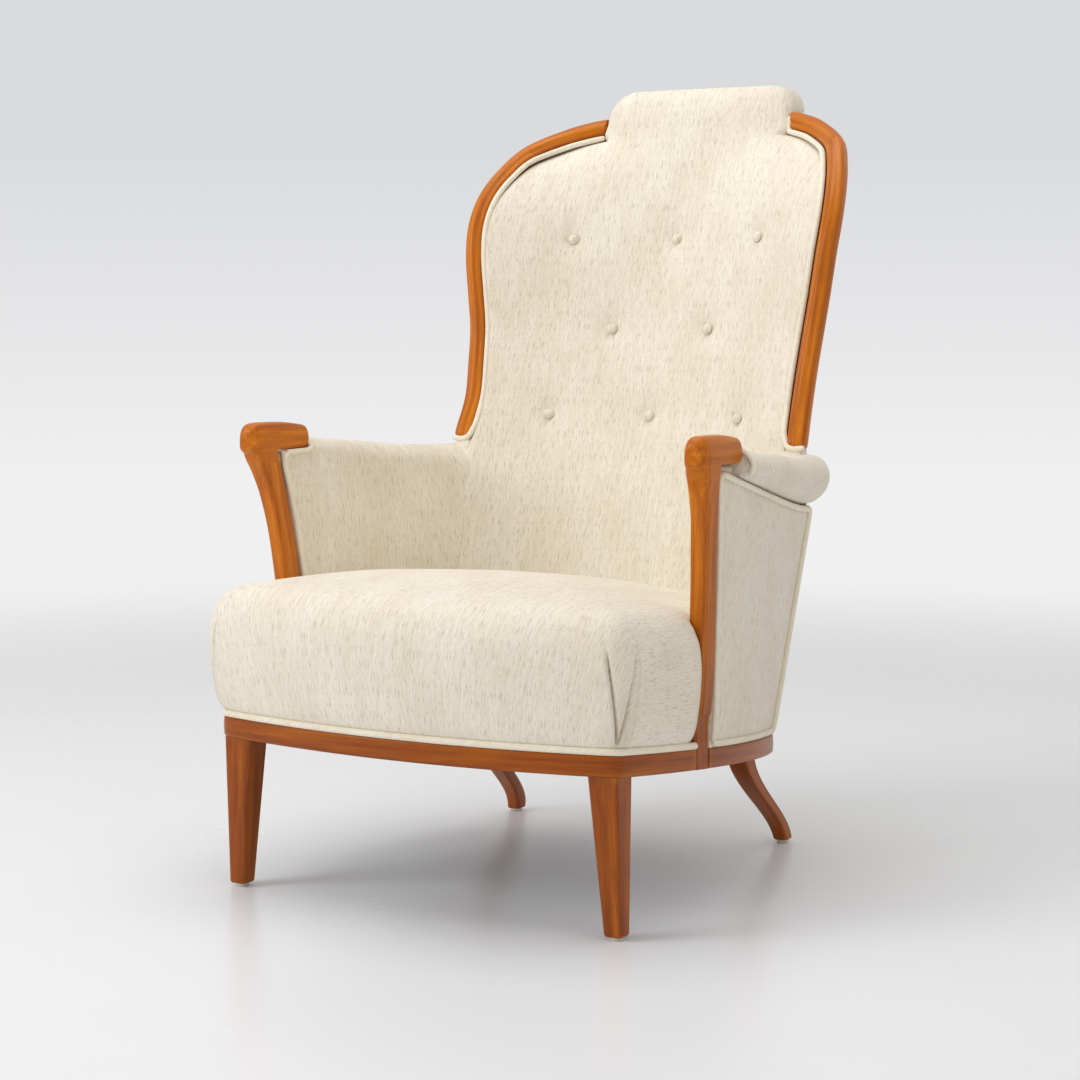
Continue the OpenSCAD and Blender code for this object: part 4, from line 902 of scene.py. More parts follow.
def creases(x, z):
    """Pits at the buttons, the pull of the cloth above them, and the fold lines between them."""
    depth = np.zeros_like(x)
    for k, (bx, bz) in enumerate(BUTTONS):
        dx, dz = x - bx, z - bz
        far = dx ** 2 + dz ** 2
        depth += 6.5 * np.exp(-far / (2 * 20.0 ** 2)) + 4.2 * np.exp(-far / (2 * 7.0 ** 2))
        leant = dx - 0.05 * sin(5 * k) * dz
        above = smooth(dz, -4, 14) * (1 - smooth(dz, 38, 92))
        below = smooth(-dz, -4, 10) * (1 - smooth(-dz, 16, 44))
        depth += (1.5 * bell(leant - 2.6, 2.6) + bell(leant + 4.2, 2.4)) * above
        depth += 0.9 * bell(dx + 0.12 * dz, 3.0) * below
    return depth


# %% Back pad
def back_grid():
    half = np.concatenate([np.linspace(0, 0.84, 44), 1 - 0.16 * (np.linspace(1, 0, 23)[1:]) ** 1.5])
    shares = np.concatenate([-half[:0:-1], half])
    rise, width, edge = BACK_ROWS.T
    power = barrel_power(rise)
    # How far the sides come forward, measured at one width so that the top corners stay smooth
    wide = np.where(rise > 850, width[rise <= 850][-1], width)
    forward = (edge - back_mid_y(rise)) / (width / wide) ** power
    stile = rise < STILE_FOOT_Z + STILE_RISE - STILE_W / 2 - WELT_ROOM
    even = np.arange(PAD_BASE_Z - 40, CREST_Z + 40, 2.0)
    filled = mix(np.interp(even, rise[stile], forward[stile]), 6.0, smooth(even, 980, 1018))
    kernel = bell(np.arange(-12, 13) * 2.0, 13.0)
    forward = np.interp(rise, even, np.convolve(np.pad(filled, 12, "edge"), kernel / kernel.sum(), "valid"))
    width = width + 15.0 * bell(rise - 521, 26)
    z = np.repeat(rise[:, None], len(shares), 1)
    x = shares[None] * width[:, None]
    base = back_mid_y(z) + forward[:, None] * np.abs(x / wide[:, None]) ** power[:, None]
    far = distance_to(x, z, np.concatenate([np.stack([width, rise], 1), [[0.0, CREST_Z]]]))
    # The edge falls back as far as the welt needs it to
    at_edge = back_mid_y(rise) + forward * (width / wide) ** power
    fall = np.clip(edge + 6.0 - at_edge, 7.0, 16.0)
    fall = np.where(rise > 985, mix(fall, 18.0, smooth(rise, 985, 1016)), fall)[:, None]
    roll = rolled(far, fall, fall * 1.15)
    calm = smooth(far, 4, 40)
    face = base + roll + (creases(x, z) + softness(x, z, 210.0, 5)) * calm
    # The crest is stuffed a little fuller in its middle
    face -= 4.0 * smooth(z, 930, 1035) * (1 - np.clip(x / CREST_HALF_W, -1, 1) ** 2) * calm
    # Below the arms the sides run into the arm pads over a soft crease
    k = ease((1 - np.abs(shares[None])) * width[:, None] * 1.12, z)
    x = x + np.sign(x) * EASE_WAY[0] * k
    face = face + EASE_WAY[1] * k - roll * (1 - smooth(z, 480, 535))

    crest = smooth(z, SHELF_Z - 3, SHELF_Z)
    body = np.maximum(10.0, mix(BACK_T - np.maximum(0, z - 986.5) * RAKE, 8.0, shares[None] ** 2))
    rear = np.maximum(base + mix(body, CREST_T, crest) - roll * crest, face + 2.0)
    deep = rear - face
    cloth = np.stack([x, z * 1.05, 0 * z], -1)
    wrapped = np.stack([x * (1 + deep / width[:, None]),
                        z * 1.05 + deep * smooth(z, 1020, 1056), 0 * z], -1)
    return np.stack([x, face, z], -1), np.stack([x, rear, z], -1), np.stack([cloth, wrapped])


back_front, back_rear, back_cloth = back_grid()
back_pad = shell("back_pad_shown", back_front, back_rear, "wool", back_cloth, 50)
settle(back_pad)

# %% [markdown]
# ## Covered buttons
# A covered button is a small dome of the same wool, folded over a disc, on a shank that holds it
# down in its pit. Each is turned on a lathe and stood square to the cloth under it.

# %% Buttons
BUTTON_PROFILE = [(2.0, -2.6), (2.0, -0.9), (6.2, -0.9), (7.3, -0.4), (7.6, 0.6), (7.2, 1.9), (6.3, 3.1),
                  (4.9, 4.3), (3.2, 5.1), (1.5, 5.5), (0.3, 5.6)]


def face_y(x, z):
    """Depth of the back pad's face at a place, from its grid."""
    row = back_front[int(np.argmin(np.abs(back_front[:, 0, 2] - z)))]
    return float(np.interp(x, row[:, 0], row[:, 1]))


shapes, weave = [], []
for x, z in BUTTONS:
    out = unit(np.array([(face_y(x + 16, z) - face_y(x - 16, z)) / 32, -1, RAKE]))
    side = unit(np.cross(out, (0, 0, 1.0)))
    up = np.cross(side, out)
    middle = np.array([x, face_y(x, z), z]) + out * 3.2
    shapes.append([[middle + side * r * cos(a) + up * r * sin(a) + out * h for a in TURN_30]
                   for r, h in BUTTON_PROFILE])
    weave += [(x + r * cos(a) * 1.1, z + r * sin(a) * 1.1, h) for r, h in BUTTON_PROFILE for a in TURN_30]
points, faces = merged(shapes)
buttons = settle(new_piece("back_buttons_shown", points, faces, "wool", weave, 60))

# %% [markdown]
# ## The seat
# The seat is deep, crowned and tight. The spare cloth at each front corner is folded into two
# pleats that meet in a V. Weave coordinates unfold the cover as it was cut: the yarn runs from
# back to front over the top, so it hangs down the front but runs level along the sides.

# %% Curves of the arms that the seat lies against
PANEL_BACK, PANEL_T, ARM_BASE_Z = STILE_BACK - 48, 5.0, 325.0
panel_base_z = float(rail_bottom(place(FRAME_D))) + SHOW_H


def arm_top_z(s):
    return HAND_Z - MARGIN - 73.0 * (1 - np.power(1 - s, 1.5))


def panel_rear_y(z):
    return place(PANEL_BACK) + (z - panel_base_z) * 0.198


def panel_x(s, z):
    return side_x(mix(SIDE_RAIL_START, PANEL_BACK, s), MARGIN) + (z - panel_base_z) * 0.085


def panel_y(s, z):
    return mix(post_rear_y(z) + FIT, panel_rear_y(z), s)


def panel_share(y, z):
    first = post_rear_y(z) + FIT
    return float(np.clip((y - first) / (panel_rear_y(z) - first), 0, 1))


def arm_inner_x(y, z):
    s = float(np.clip((y - post_rear_y(z)) / (seam_y(z) - post_rear_y(z)), 0, 1))
    rise = float(np.clip((z - ARM_BASE_Z) / (arm_top_z(s) - ARM_BASE_Z), 0, 1))
    return mix(post_inner_x(z) - 4.0, SEAM_X + FIT, s ** 1.9) - 5.0 * sin(pi * rise)


# %% Columns of the seat, as ways to find a point at any inset and height
SEAT_GAP, CAVITY_INSET, CEILING_H = 0.6, 45.0, 178.0
CURL = 18.0  # the cover turns in this far before the post
SEAT_MIDDLE = np.array([0.0, place(FRAME_D * 0.46)])


def seat_column(kind, value):
    """A function of inset, height and height at the arms that gives a point of the cover."""
    def point(inset, h, arm_h):
        deep = inset > 40
        r = max(2.0, CORNER_R - inset)
        x1, t1 = HALF_W - inset - r, r / FRAME_D
        level = h if deep else max(h, arm_h)
        if kind == "front":
            x, y = value * x1, front_edge(value * x1, inset)
        elif kind == "corner":
            x, y = bezier([(x1, front_edge(x1, inset)), (HALF_W - inset, front_edge(HALF_W - inset, inset)),
                           tuple(side_point(t1, inset))], value)
        elif kind == "side":
            back = mix(side_point(t1, inset)[1] - FRONT_Y, POST_BACK - CURL, value)
            x, y = side_x(back, inset), place(back)
        elif kind == "curl":
            turn = radians(90 * value)
            level = mix(h, max(h, arm_h), float(smooth(value, 0.0, 0.45)))
            z = float(rail_bottom(place(POST_BACK))) + level
            y = float(post_front_y(z)) - CURL + 0.8 * CURL * sin(turn)
            x = side_x(y - FRONT_Y, inset)
            if not deep:
                x, h = mix(x, min(x, arm_inner_x(y, z) - SEAT_GAP), 1 - cos(turn)), level
        elif kind == "arm":
            y, h = place(value), level
            x = side_x(value, inset) if deep else arm_inner_x(y, float(rail_bottom(y)) + level) - SEAT_GAP
        elif deep:
            x = value * (REAR_HALF_W - inset)
            y = rear_edge(x, inset + REAR_BOW / 2)
        else:
            x, h = value * (SEAM_X - SEAT_GAP), level
            z = max(PAD_BASE_Z, float(rail_bottom(place(SEAM_BACK))) + h)
            mid = back_mid_y(z)
            y = float(mid - (mid - seam_y(z)) * value ** barrel_power(z)) - SEAT_GAP
        return np.array([x, y, float(rail_bottom(y)) + h])
    return point


def spread(*parts):
    return np.concatenate([np.linspace(*part) for part in parts])


SEAT_KINDS = [(kind, value) for kind, values in (
    ("front", spread((0, 0.84, 30), (0.85, 1, 28))), ("corner", spread((0, 1, 36))[1:]),
    ("side", spread((0, 0.3, 28), (0.33, 1, 18))[1:]), ("curl", spread((0, 1, 14))[1:]),
    ("arm", spread((POST_BACK + 6, 428, 26))), ("rear", spread((1, 0.6, 12), (0.55, 0, 12))))
    for value in values]
SEAT_COLUMNS = [seat_column(*kind) for kind in SEAT_KINDS]
SEAT_ROWS = np.array([  # inset, height at the front, height at the arms, share of the way out
    [3.5, 33.8, 58.7, 1], [-2.2, 38.0, 59.5, 1], [-7.5, 49.0, 62.0, 1], [-13.0, 76.0, 76.0, 1],
    [-16.0, 110.0, 110.0, 1], [-16.0, 134.0, 134.0, 1], [-13.0, 156.0, 154.0, 1], [-7.0, 171.0, 168.0, 1],
    [-4.8, 181.0, 178.0, 0.985], [-4.8, 190.0, 187.5, 0.95], [-4.8, 196.5, 195.0, 0.9],
    [-4.8, 202.5, 202.0, 0.82], [-4.8, 213.0, 213.0, 0.66], [-4.8, 221.5, 221.5, 0.48],
    [-4.8, 226.7, 226.7, 0.26], [-4.8, 227.9, 227.9, 0.1], [-4.8, 228.0, 228.0, 0.02]])
HOLLOW_ROWS = [(CAVITY_INSET, CEILING_H, CEILING_H, 1), (CAVITY_INSET, 59.0, 59.0, 1),
               (REBATE - FIT, 57.0, 58.0, 1), (REBATE - FIT, 34.0, 58.2, 1)]


# %% Seat cover
def seat_ring(*heights):
    return np.array([column(*heights) for column in SEAT_COLUMNS])


def folds(h, around, c):
    """Depth of pleats, gathers and slow waves at a height; c is measured from the corner."""
    up = smooth(h, 37, 44) * (1 - smooth(h, 132, 158))
    rise = (h - 42) / 110
    left, right = c + (2.0 + 17 * rise), c - (2.0 + 21 * rise)
    pleat = 8.0 * bell(left, 1.7) + 8.0 * bell(right, 1.7)
    pleat -= 1.1 * bell(left + 5.0, 3.4) + 1.1 * bell(right - 5.0, 3.4)
    pleat -= 0.9 * bell(c - 2 * rise, 3 + 8 * max(0.0, rise))
    gather = 1.2 * bell(c, 15) * bell(h - 158, 8) + 0.6 * bell(c - 6, 20) * bell(h - 174, 6)
    wave = 0.9 * softness(around, np.full_like(around, h), 170.0, 3) * (1 - smooth(h, 150, 180))
    return pleat * up + gather + wave * smooth(h, 44, 70)


def seat_skin():
    # Outward normals in plan, for the pleats and for unfolding the cloth
    plan, edge_ring = seat_ring(-16.0, 120.0, 120.0)[:, :2], seat_ring(-4.8, 181.0, 178.0)
    tangent = np.gradient(plan, axis=0)
    normal = unit(np.stack([-tangent[:, 1], tangent[:, 0]], 1))
    normal *= -1 if normal[0, 1] > 0 else 1
    around = arc_length(plan)
    corner = [k for k, (kind, _) in enumerate(SEAT_KINDS) if kind == "corner"]
    from_corner = around - around[corner[len(corner) // 2]]
    reach = np.array([1.0 if kind in ("front", "corner", "side") else 0.0 for kind, _ in SEAT_KINDS])
    grid, weave = [], []
    for inset, h, arm_h, k in HOLLOW_ROWS + list(curve_at(SEAT_ROWS, np.linspace(0, 1, 96))):
        ring = seat_ring(inset, h, arm_h)
        if k < 1:
            flat = mix(SEAT_MIDDLE, ring[:, :2], k)
            ring = np.concatenate([flat, (rail_bottom(flat[:, 1]) + h)[:, None]], 1)
        if inset < 10:
            ring[:, :2] -= normal * (folds(h, around, from_corner) * reach)[:, None]
        flat = mix(SEAT_MIDDLE, edge_ring[:, :2], min(1.0, k)) + normal * max(0.0, 181.0 - h)
        grid.append(ring)
        weave.append(np.concatenate([flat, np.zeros((len(ring), 1))], 1))
    grid, weave = np.array(grid), np.array(weave)
    top = len(HOLLOW_ROWS) + 60
    swell = softness(grid[top:, :, 0], grid[top:, :, 1], 260.0, 8)
    grid[top:, :, 2] += 1.2 * swell * smooth(np.arange(len(grid) - top), 0, 12)[:, None]
    return [np.concatenate([half, sided(half[:, -2:0:-1])], 1) for half in (grid, weave)]


seat_rings, seat_weave = seat_skin()
seat = settle(tube("seat_cover_shown", seat_rings, "wool", seat_weave, angle=75))

# %% [markdown]
# The welt between seat and rail is a cord in a bias strip with its flange tacked in the rebate.
# Only the round cord shows, so the section is a circle with a thin tail behind it.

# %% Seat welt
# Pairs of inset and height above the rails' underside
WELT_SECTION = [(11.5, 34.2)] + [(1.6 + 4.5 * cos(a), 30.6 + 4.5 * sin(a))
                                 for a in np.radians(np.linspace(48, 312, 22))] + [(11.5, 27.0)]
welt_end = (POST_BACK - 1.2 - CURL) / (POST_BACK - 2 * CURL)
half = [[seat_column(kind, value)(inset, h, h) for inset, h in WELT_SECTION] for kind, values in (
    ("front", spread((0, 1, 40))), ("corner", spread((0, 1, 16))[1:]),
    ("side", spread((0, welt_end, 40))[1:])) for value in values]
rings = np.concatenate([sided(half)[:0:-1], half])
slant = bias(arc_length(rings[:, 11]), arc_length(rings[0]))
settle(tube("seat_welt_shown", rings, "welt_wool", slant))

# %% [markdown]
# ## The arms
# Each arm is padded inside and rolls over its rail; the outside is a separate flat panel with
# piping on every edge. The inner face flows into the back with only a shallow crease, so both
# pads are eased towards the bisector of the corner where they meet.

# %% Arm pads
ROLL_OUT = 20.0
ROLL = slice(33, 79)  # the points of a section that go over the roll
RIDGE = np.array([[0, 0.5], [0.36, 0.21], [0.66, -0.1], [0.87, -0.18], [1, -0.1]])


def panel_inner_x(y, z):
    return panel_x(panel_share(y, z), z) - PANEL_T


def ridge_z(s):
    t = float(np.interp(s, RIDGE[:, 0], np.linspace(0, 1, len(RIDGE))))
    return HAND_Z + HAND_H * float(curve_at(RIDGE, t)[0, 1])


def arm_front_y(z):
    low, high = float(post_rear_y(ARM_BASE_Z)), float(post_rear_y(HAND_Z))
    return 5.0 + mix(low, high, (z - ARM_BASE_Z) / (HAND_Z - ARM_BASE_Z))


def arm_y(v, z):
    """Place along an arm: v from -1 to 0 under the hand rest, from 0 to 1 along the roll."""
    if v < 0:
        return mix(arm_front_y(z), TAIL_Y, v + 1)
    return mix(TAIL_Y + FIT, float(seam_y(z)) - FIT, v)


def pad_inner(y, z, x):
    """Beside the post the pad narrows to the thickness of the post."""
    near = 1 - float(smooth(y - arm_front_y(z), 0, 46))
    return x + max(0.0, float(post_inner_x(min(z, 545.0))) - 1.6 - x) * near


def arm_section(v, under_hand, end=1.0):
    """Points up the inner face, over the roll and down behind the outside panel."""
    middle_z = HAND_Z - 36.5
    z_top = arm_top_z(panel_share(arm_y(v, middle_z), middle_z))
    s = panel_share(arm_y(v, z_top), z_top)
    top = arm_top_z(s) + 1.3
    y, under = arm_y(v, top), top - 37.0
    ridge = HAND_Z - FIT if under_hand else ridge_z(s)
    inner_top, face = arm_inner_x(y, top), panel_inner_x(y, top)
    outer = face if under_hand else face + PANEL_T + ROLL_OUT + 8.0 * s
    rx, rz = (outer - inner_top) / 2, (ridge - top) / 2
    points = []
    for z in np.linspace(ARM_BASE_Z, top, ROLL.start + 1)[:-1]:
        yy = arm_y(v, z)
        soft = 0.5 * float(softness(np.array(yy), np.array(z), 150.0, 12))
        x = pad_inner(yy, z, arm_inner_x(yy, z) + soft)
        k = float(ease(float(seam_y(z)) - yy, z))
        points.append((x + EASE_WAY[0] * k, yy + EASE_WAY[1] * k, z))
    for a in np.radians(np.linspace(180, -70, ROLL.stop - ROLL.start)):
        px, pz = inner_top + rx + rx * cos(a) * end, top + rz + rz * sin(a) * end
        py = arm_y(v, pz)
        px = mix(px, pad_inner(py, pz, px), max(0.0, -cos(a)))
        k = float(ease(float(seam_y(pz)) - py, pz)) * max(0.0, -cos(a)) ** 2
        points.append((px + EASE_WAY[0] * k, py + EASE_WAY[1] * k, pz))
    points += [(face - 12.0, y, top), (face - 12.0, arm_y(v, under), under)]
    for z in np.linspace(under, ARM_BASE_Z, 12):
        points.append((panel_inner_x(arm_y(v, z), z) - FIT, arm_y(v, z), z))
    return np.array(points)


def joined(name, pieces):
    """Several meshes in one object."""
    with bpy.context.temp_override(active_object=pieces[0], selected_editable_objects=pieces):
        bpy.ops.object.join()
    pieces[0].name = pieces[0].data.name = name
    return pieces[0]


def arm_pad(name, side):
    rings = [arm_section(v, True) for v in np.linspace(-1, -0.02, 12)]
    rings += [arm_section(v, False, end)
              for v, end in ((0.0, 0.80), (0.002, 0.88), (0.006, 0.94), (0.012, 0.98))]
    rings += [arm_section(v, False) for v in np.linspace(0.02, 1, 70)]
    # Behind the last section the roll closes in a dome under the stile's foot
    last = rings[-1]
    middle = last[ROLL].mean(0)
    rings += [last + (0, extra, 0) for extra in (3.0, 6.0, 9.0)]
    for a in np.radians([18, 36, 52, 66, 78, 86]):
        ring = last + (0, 10.0 + 15.0 * sin(a), 0)
        for k in (0, 2):
            ring[ROLL, k] = mix(middle[k], last[ROLL, k], cos(a) ** 0.7)
        rings.append(ring)
    rings = np.array(rings)
    cloth = np.zeros_like(rings)
    cloth[..., 0] = rings[..., 1]
    cloth[:, 1:, 1] = np.cumsum(np.linalg.norm(np.diff(rings, axis=1), axis=2), axis=1)
    cloth[..., 1] += ARM_BASE_Z
    pad = tube(name, sided(rings, side), "wool", cloth + (side * 700, side * 300, 0), angle=55)
    # A sleeve of the same cloth closes the corner between roll, back and stile
    foot = np.array([REAR_HALF_W - 25.0, place(FRAME_D - 15.0), 0.0])
    foot[2] = float(rail_bottom(foot[1])) + RAIL_H
    sleeve = []
    for z in np.linspace(455, 551, 24):
        k = 1 - 0.22 * float(smooth(z, 543, 551))
        x, y, _ = mix(foot, stile_points[0], (z - foot[2]) / (STILE_FOOT_Z - foot[2]))
        sleeve.append([(x + px, y + py, z) for px, py in rounded_rect(28.0 * k, 25.0 * k, 6.0 * k)])
    sleeve = sided(sleeve, side)
    piece = joined(name, [pad, tube("sleeve", sleeve, "wool", sleeve, angle=55)])
    settle(piece)


for name, side in SIDES:
    arm_pad(name + "arm_pad_shown", side)

# %% [markdown]
# The outside of an arm is one flat piece of cloth over a thin lining, pulled tight and slightly
# full in its middle. Its yarn runs upright, like that of the back.

# %% Outside arms
def outside_arm(name, side):
    outer, inner = [], []
    for t in np.linspace(0, 1, 40):
        for s in np.linspace(0, 1, 44):
            low, high = float(rail_bottom(panel_y(s, panel_base_z))) + SHOW_H + FIT, arm_top_z(s)
            z = mix(low, high, t)
            x, y = panel_x(s, z), float(panel_y(s, z))
            edge = min(min(s, 1 - s) * 300.0, min(t, 1 - t) * (high - low))
            wave = 0.35 * float(softness(np.array(y), np.array(z * 0.4), 90.0, 31))
            wave *= float(smooth(edge, 2, 30))
            outer.append((x + 1.8 * float(smooth(edge, 2, 46)) + wave, y, z))
            inner.append((x - PANEL_T, y, z))
    outer, inner = (sided(np.reshape(grid, (40, 44, 3)), side) for grid in (outer, inner))
    piece = shell(name + "outside_arm_shown", outer, inner, "wool")
    settle(piece)


for name, side in SIDES:
    outside_arm(name, side)

# %% [markdown]
# ## Piping
# One length frames each outside panel; a second runs up behind the post, hooks under the end of
# the hand rest and crosses the roll. Beside a stile the piping lies in the joint between wood and
# pad, hooks round under the foot and, on the right, turns up the side of the crest.

# %% Arm piping
CORD_R, HOOK_R, BACK_CORD_R = 3.9, 3.6, 3.9
HOOK_FOOT_Z, HOOK_BEND_Z = 372, 536


def on_panel(y, z):
    return [panel_x(panel_share(y, z), z) + 2.6, y, z]


def panel_loop():
    """Round the outside panel: front edge, top, rear edge and along the rail."""
    r, low = CORD_R + 0.4, 209.5
    path = [on_panel(float(post_rear_y(z)) + r, z) for z in np.linspace(low, 536, 30)]
    for s in np.linspace(0.03, 0.985, 40):
        z = arm_top_z(s) - r
        path.append(on_panel(mix(float(post_rear_y(z)) + r, float(panel_rear_y(z)) - r, s), z))
    path += [on_panel(float(panel_rear_y(z)) - r, z)
             for z in np.linspace(path[-1][2] - 8, panel_base_z + 12, 30)]
    for s in np.linspace(0.97, 0.03, 36):
        y = mix(float(post_rear_y(low)) + r, float(panel_rear_y(panel_base_z)) - r, s)
        path.append(on_panel(y, float(rail_bottom(y)) + SHOW_H + r + 0.4))
    return smooth_path(path + path[:1], 2.6, 6)


def post_hook():
    """Up behind the post, under and behind the hand rest, and over the roll."""
    path = [[float(post_inner_x(z)) - 1.6, float(post_rear_y(z)) + 4.2, z]
            for z in np.linspace(HOOK_FOOT_Z, HOOK_BEND_Z, 26)]
    for y, z in ((7, 545.0), (12, 548.6), (22, 549.4), (34, 549.8)):
        y += float(post_rear_y(HOOK_BEND_Z))
        path.append([pad_inner(y, z, arm_inner_x(y, z)) - 1.0, y, z])
    roll = arm_section(0.012, False)[ROLL]
    path += [[roll[0][0] - 1.0, TAIL_Y - 8, 550.0], [roll[0][0] - 2.4, TAIL_Y, 553.0],
             [roll[6][0] - 2.4, TAIL_Y + 1.0, 558.0]]
    middle = roll.mean(0)
    for p in roll[8:40]:
        path.append(p + unit((p - middle) * (1, 0, 1)) * 2.6 + [0, TAIL_Y - 0.5 - p[1], 0])
    return smooth_path(path, 2.6, 4)


for name, side in SIDES:
    pieces = [cord("piping", sided(path, side), radius)
              for path, radius in ((panel_loop(), CORD_R), (post_hook(), HOOK_R))]
    settle(joined(name + "arm_welt_shown", pieces))


# %% Piping of the back
def back_welt(name, side):
    middle, way, out, behind = stile_frame(np.linspace(0, 1, 150))
    line = middle - out * (STILE_W + WELT_ROOM + 0.6) / 2 - behind * (STILE_W / 2 - 3.7 - MARGIN)
    line[:, 0] = np.maximum(line[:, 0], STILE_END_X + 1.0)
    foot = middle[0] - way[0] * 15.5
    path = [foot + out[0] * 14.0 - behind[0] * 5.0 + way[0], foot + out[0] * 7.0 - behind[0] * 6.0]
    for a in np.radians([100, 75, 50, 25, 0]):
        path.append(foot - out[0] * (13.0 * cos(a) + 1.0) - behind[0] * 6.0 + way[0] * 9.0 * (1 - sin(a)))
    path += list(line[3:])
    if side > 0:
        last = line[-1]
        path += [[STILE_END_X + 0.5, last[1] - 1.0, last[2] + 5.0],
                 [CREST_HALF_W + 1.5, last[1] - 0.5, last[2] + 14.0],
                 [CREST_HALF_W + 0.8, last[1] + 1.0, last[2] + 20.0]]
    settle(cord(name, sided(smooth_path(path, 2.4, 4), side), BACK_CORD_R))


for name, side in SIDES:
    back_welt(name + "back_welt_shown", side)

# %% [markdown]
# ## The outside of the back
# A single cloth closes the rear, drawn over the curve of the hidden rails and blind-stitched along
# the stiles. Its edges are turned in, which leaves a soft rounded fold.

# %% Outside back
def outside_back():
    low = float(rail_bottom(place(PANEL_BACK))) + SHOW_H + 2 * FIT
    rows = [(z, panel_x(1, z) - PANEL_T, float(panel_rear_y(z)) + PANEL_T + FIT)
            for z in np.linspace(low, STILE_FOOT_Z - 60, 40)]
    rows += [(p[2], p[0], p[1] + STILE_W / 2 + PANEL_T + 9)
             for p in curve_at(stile_points, np.linspace(0, 1, 60))]
    rows += [(z, *rows[-1][1:]) for z in np.linspace(rows[-1][0] + 3, SHELF_Z + 2, 6)]
    rows = np.array(rows)
    shares = np.sin(np.linspace(-pi / 2, pi / 2, 91))
    z = np.repeat(rows[:, :1], len(shares), 1)
    x = shares[None] * rows[:, 1:2]
    rear = mix(back_mid_y(z) + BACK_T + 24.0, rows[:, 2:3], np.abs(shares[None]) ** 2.6)
    far = distance_to(x, z, np.concatenate([[[0, rows[0, 0]]], rows[:, 1::-1], [[0, rows[-1, 0]]]]))
    soft = softness(x, z * 0.5, 190.0, 21) * smooth(far, 5, 60)
    pull = 0.5 * np.sin(z / 7.5) * bell(far - 9, 6) * bell(np.abs(shares[None]) - 1, 0.2)
    face = rear - rolled(far, 5.0, 5.0) * 0.9 - 0.9 * soft - pull
    lining = np.minimum(rear - PANEL_T, face - 1.0)
    grids = [np.stack([x, y, z], -1) for y in (face, lining)]
    piece = shell("outside_back_shown", *grids, "wool", None, 50)
    settle(piece)


outside_back()

# %% [markdown]
# ## What the cloth hides
# Under the seat are jute straps woven over and under one another, nine coil springs tied to them,
# hessian, a stitched pad of fibre, and a black dust cloth that closes the frame from below.

# %% Webbing and straps
WEB_INSET, STRAP_W, STRAP_T, STRAP_DROP = 14.0, 50.0, 0.9, 0.95
SPRING_X = (-124.8, 0.0, 124.8)
SPRING_BACK = tuple(share * FRAME_D for share in (0.205, 0.469, 0.733))
SPRING_Y = tuple(place(back) for back in SPRING_BACK)


def strap(path, across, width, thick):
    """A flat strap along a path: its section is a low rounded rectangle."""
    path, across = np.array(path, float), np.array(across, float)
    up = np.cross(unit(np.gradient(path, axis=0)), across)
    ring = np.array(rounded_rect(width, thick, thick * 0.42, 3))
    rings = path[:, None] + ring[None, :, :1] * across + ring[None, :, 1:] * up[:, None]
    cloth = np.zeros_like(rings)
    cloth[..., 0] = ring[None, :, 0]
    cloth[..., 1] = arc_length(path)[:, None]
    return tube("strap", rings, "jute", cloth)


def woven_path(first, last, count, crossings, k, at):
    """Along one strap, over and under those that cross it."""
    path = []
    for v in np.linspace(first, last, count):
        over = sum((-1) ** (k + j) * exp(-((v - c) / 30.0) ** 2) for j, c in enumerate(crossings))
        path.append(at(v, 0.42 * over))
    return path


straps = []
for k, x in enumerate(SPRING_X):
    path = woven_path(front_edge(x, WEB_INSET) + 1, rear_edge(x, WEB_INSET) - 1, 70, SPRING_Y, k,
                      lambda y, over: (x, y, float(rail_bottom(y)) - STRAP_DROP + over))
    straps.append(strap(path, (1, 0, 0), STRAP_W, STRAP_T))
for k, (back, y) in enumerate(zip(SPRING_BACK, SPRING_Y)):
    reach = side_x(back, WEB_INSET) - 1
    path = woven_path(-reach, reach, 80, SPRING_X, k,
                      lambda x, over: (x, y, float(rail_bottom(y)) - STRAP_DROP - over))
    straps.append(strap(path, (0, -1, 0.1), STRAP_W, STRAP_T))
settle(joined("seat_webbing_shown", straps))

box_low, box_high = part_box("back_webbing")
straps = []
for x in (-100.0, -36.0, 36.0, 100.0):
    low = np.array((x, box_low.y / MM + 1.6 + (0 if abs(x) > 60 else 6), 326.0))
    high = np.array((x, box_high.y / MM - 1.6 - (5 if abs(x) > 60 else 0), 985.8))
    path = [mix(low, high, t) + (0, -2.0 * sin(pi * t), 0) for t in np.linspace(0, 1, 40)]
    straps.append(strap(path, (1, 0, 0), 40.0, 1.8))
settle(joined("back_webbing_shown", straps))


# %% Springs, hessian, stuffing and dust cover
HESSIAN_H, STEEL_R = CEILING_H - 38.0, 1.9
coils = []
for i, x in enumerate(SPRING_X):
    for j, y in enumerate(SPRING_Y):
        base, path = np.array([x, y, float(rail_bottom(y)) + 2.2]), []
        for t in np.linspace(0, 1, 150):
            r, a = 37.5 * mix(0.6, 1, (2 * t - 1) ** 2), 2 * pi * 6 * t + i + j
            rise = np.clip((t - 0.08) / 0.84, 0, 1) * (HESSIAN_H - 6.5)
            path.append(base + (r * cos(a), r * sin(a) + rise * 0.1, rise - 0.1 * r * sin(a)))
        coils.append(tube("coil", cord_rings(path, STEEL_R, 8), "spring_steel"))
settle(joined("seat_springs_shown", coils))


def cavity_line():
    half = seat_ring(CAVITY_INSET + 0.8, 100, 100)[:, :2]
    keep = [0]
    for k in range(1, len(half)):
        if np.linalg.norm(half[k] - half[keep[-1]]) > 2.0:
            keep.append(k)
    half = half[keep]
    return np.concatenate([half, half[-2:0:-1] * (-1, 1)])


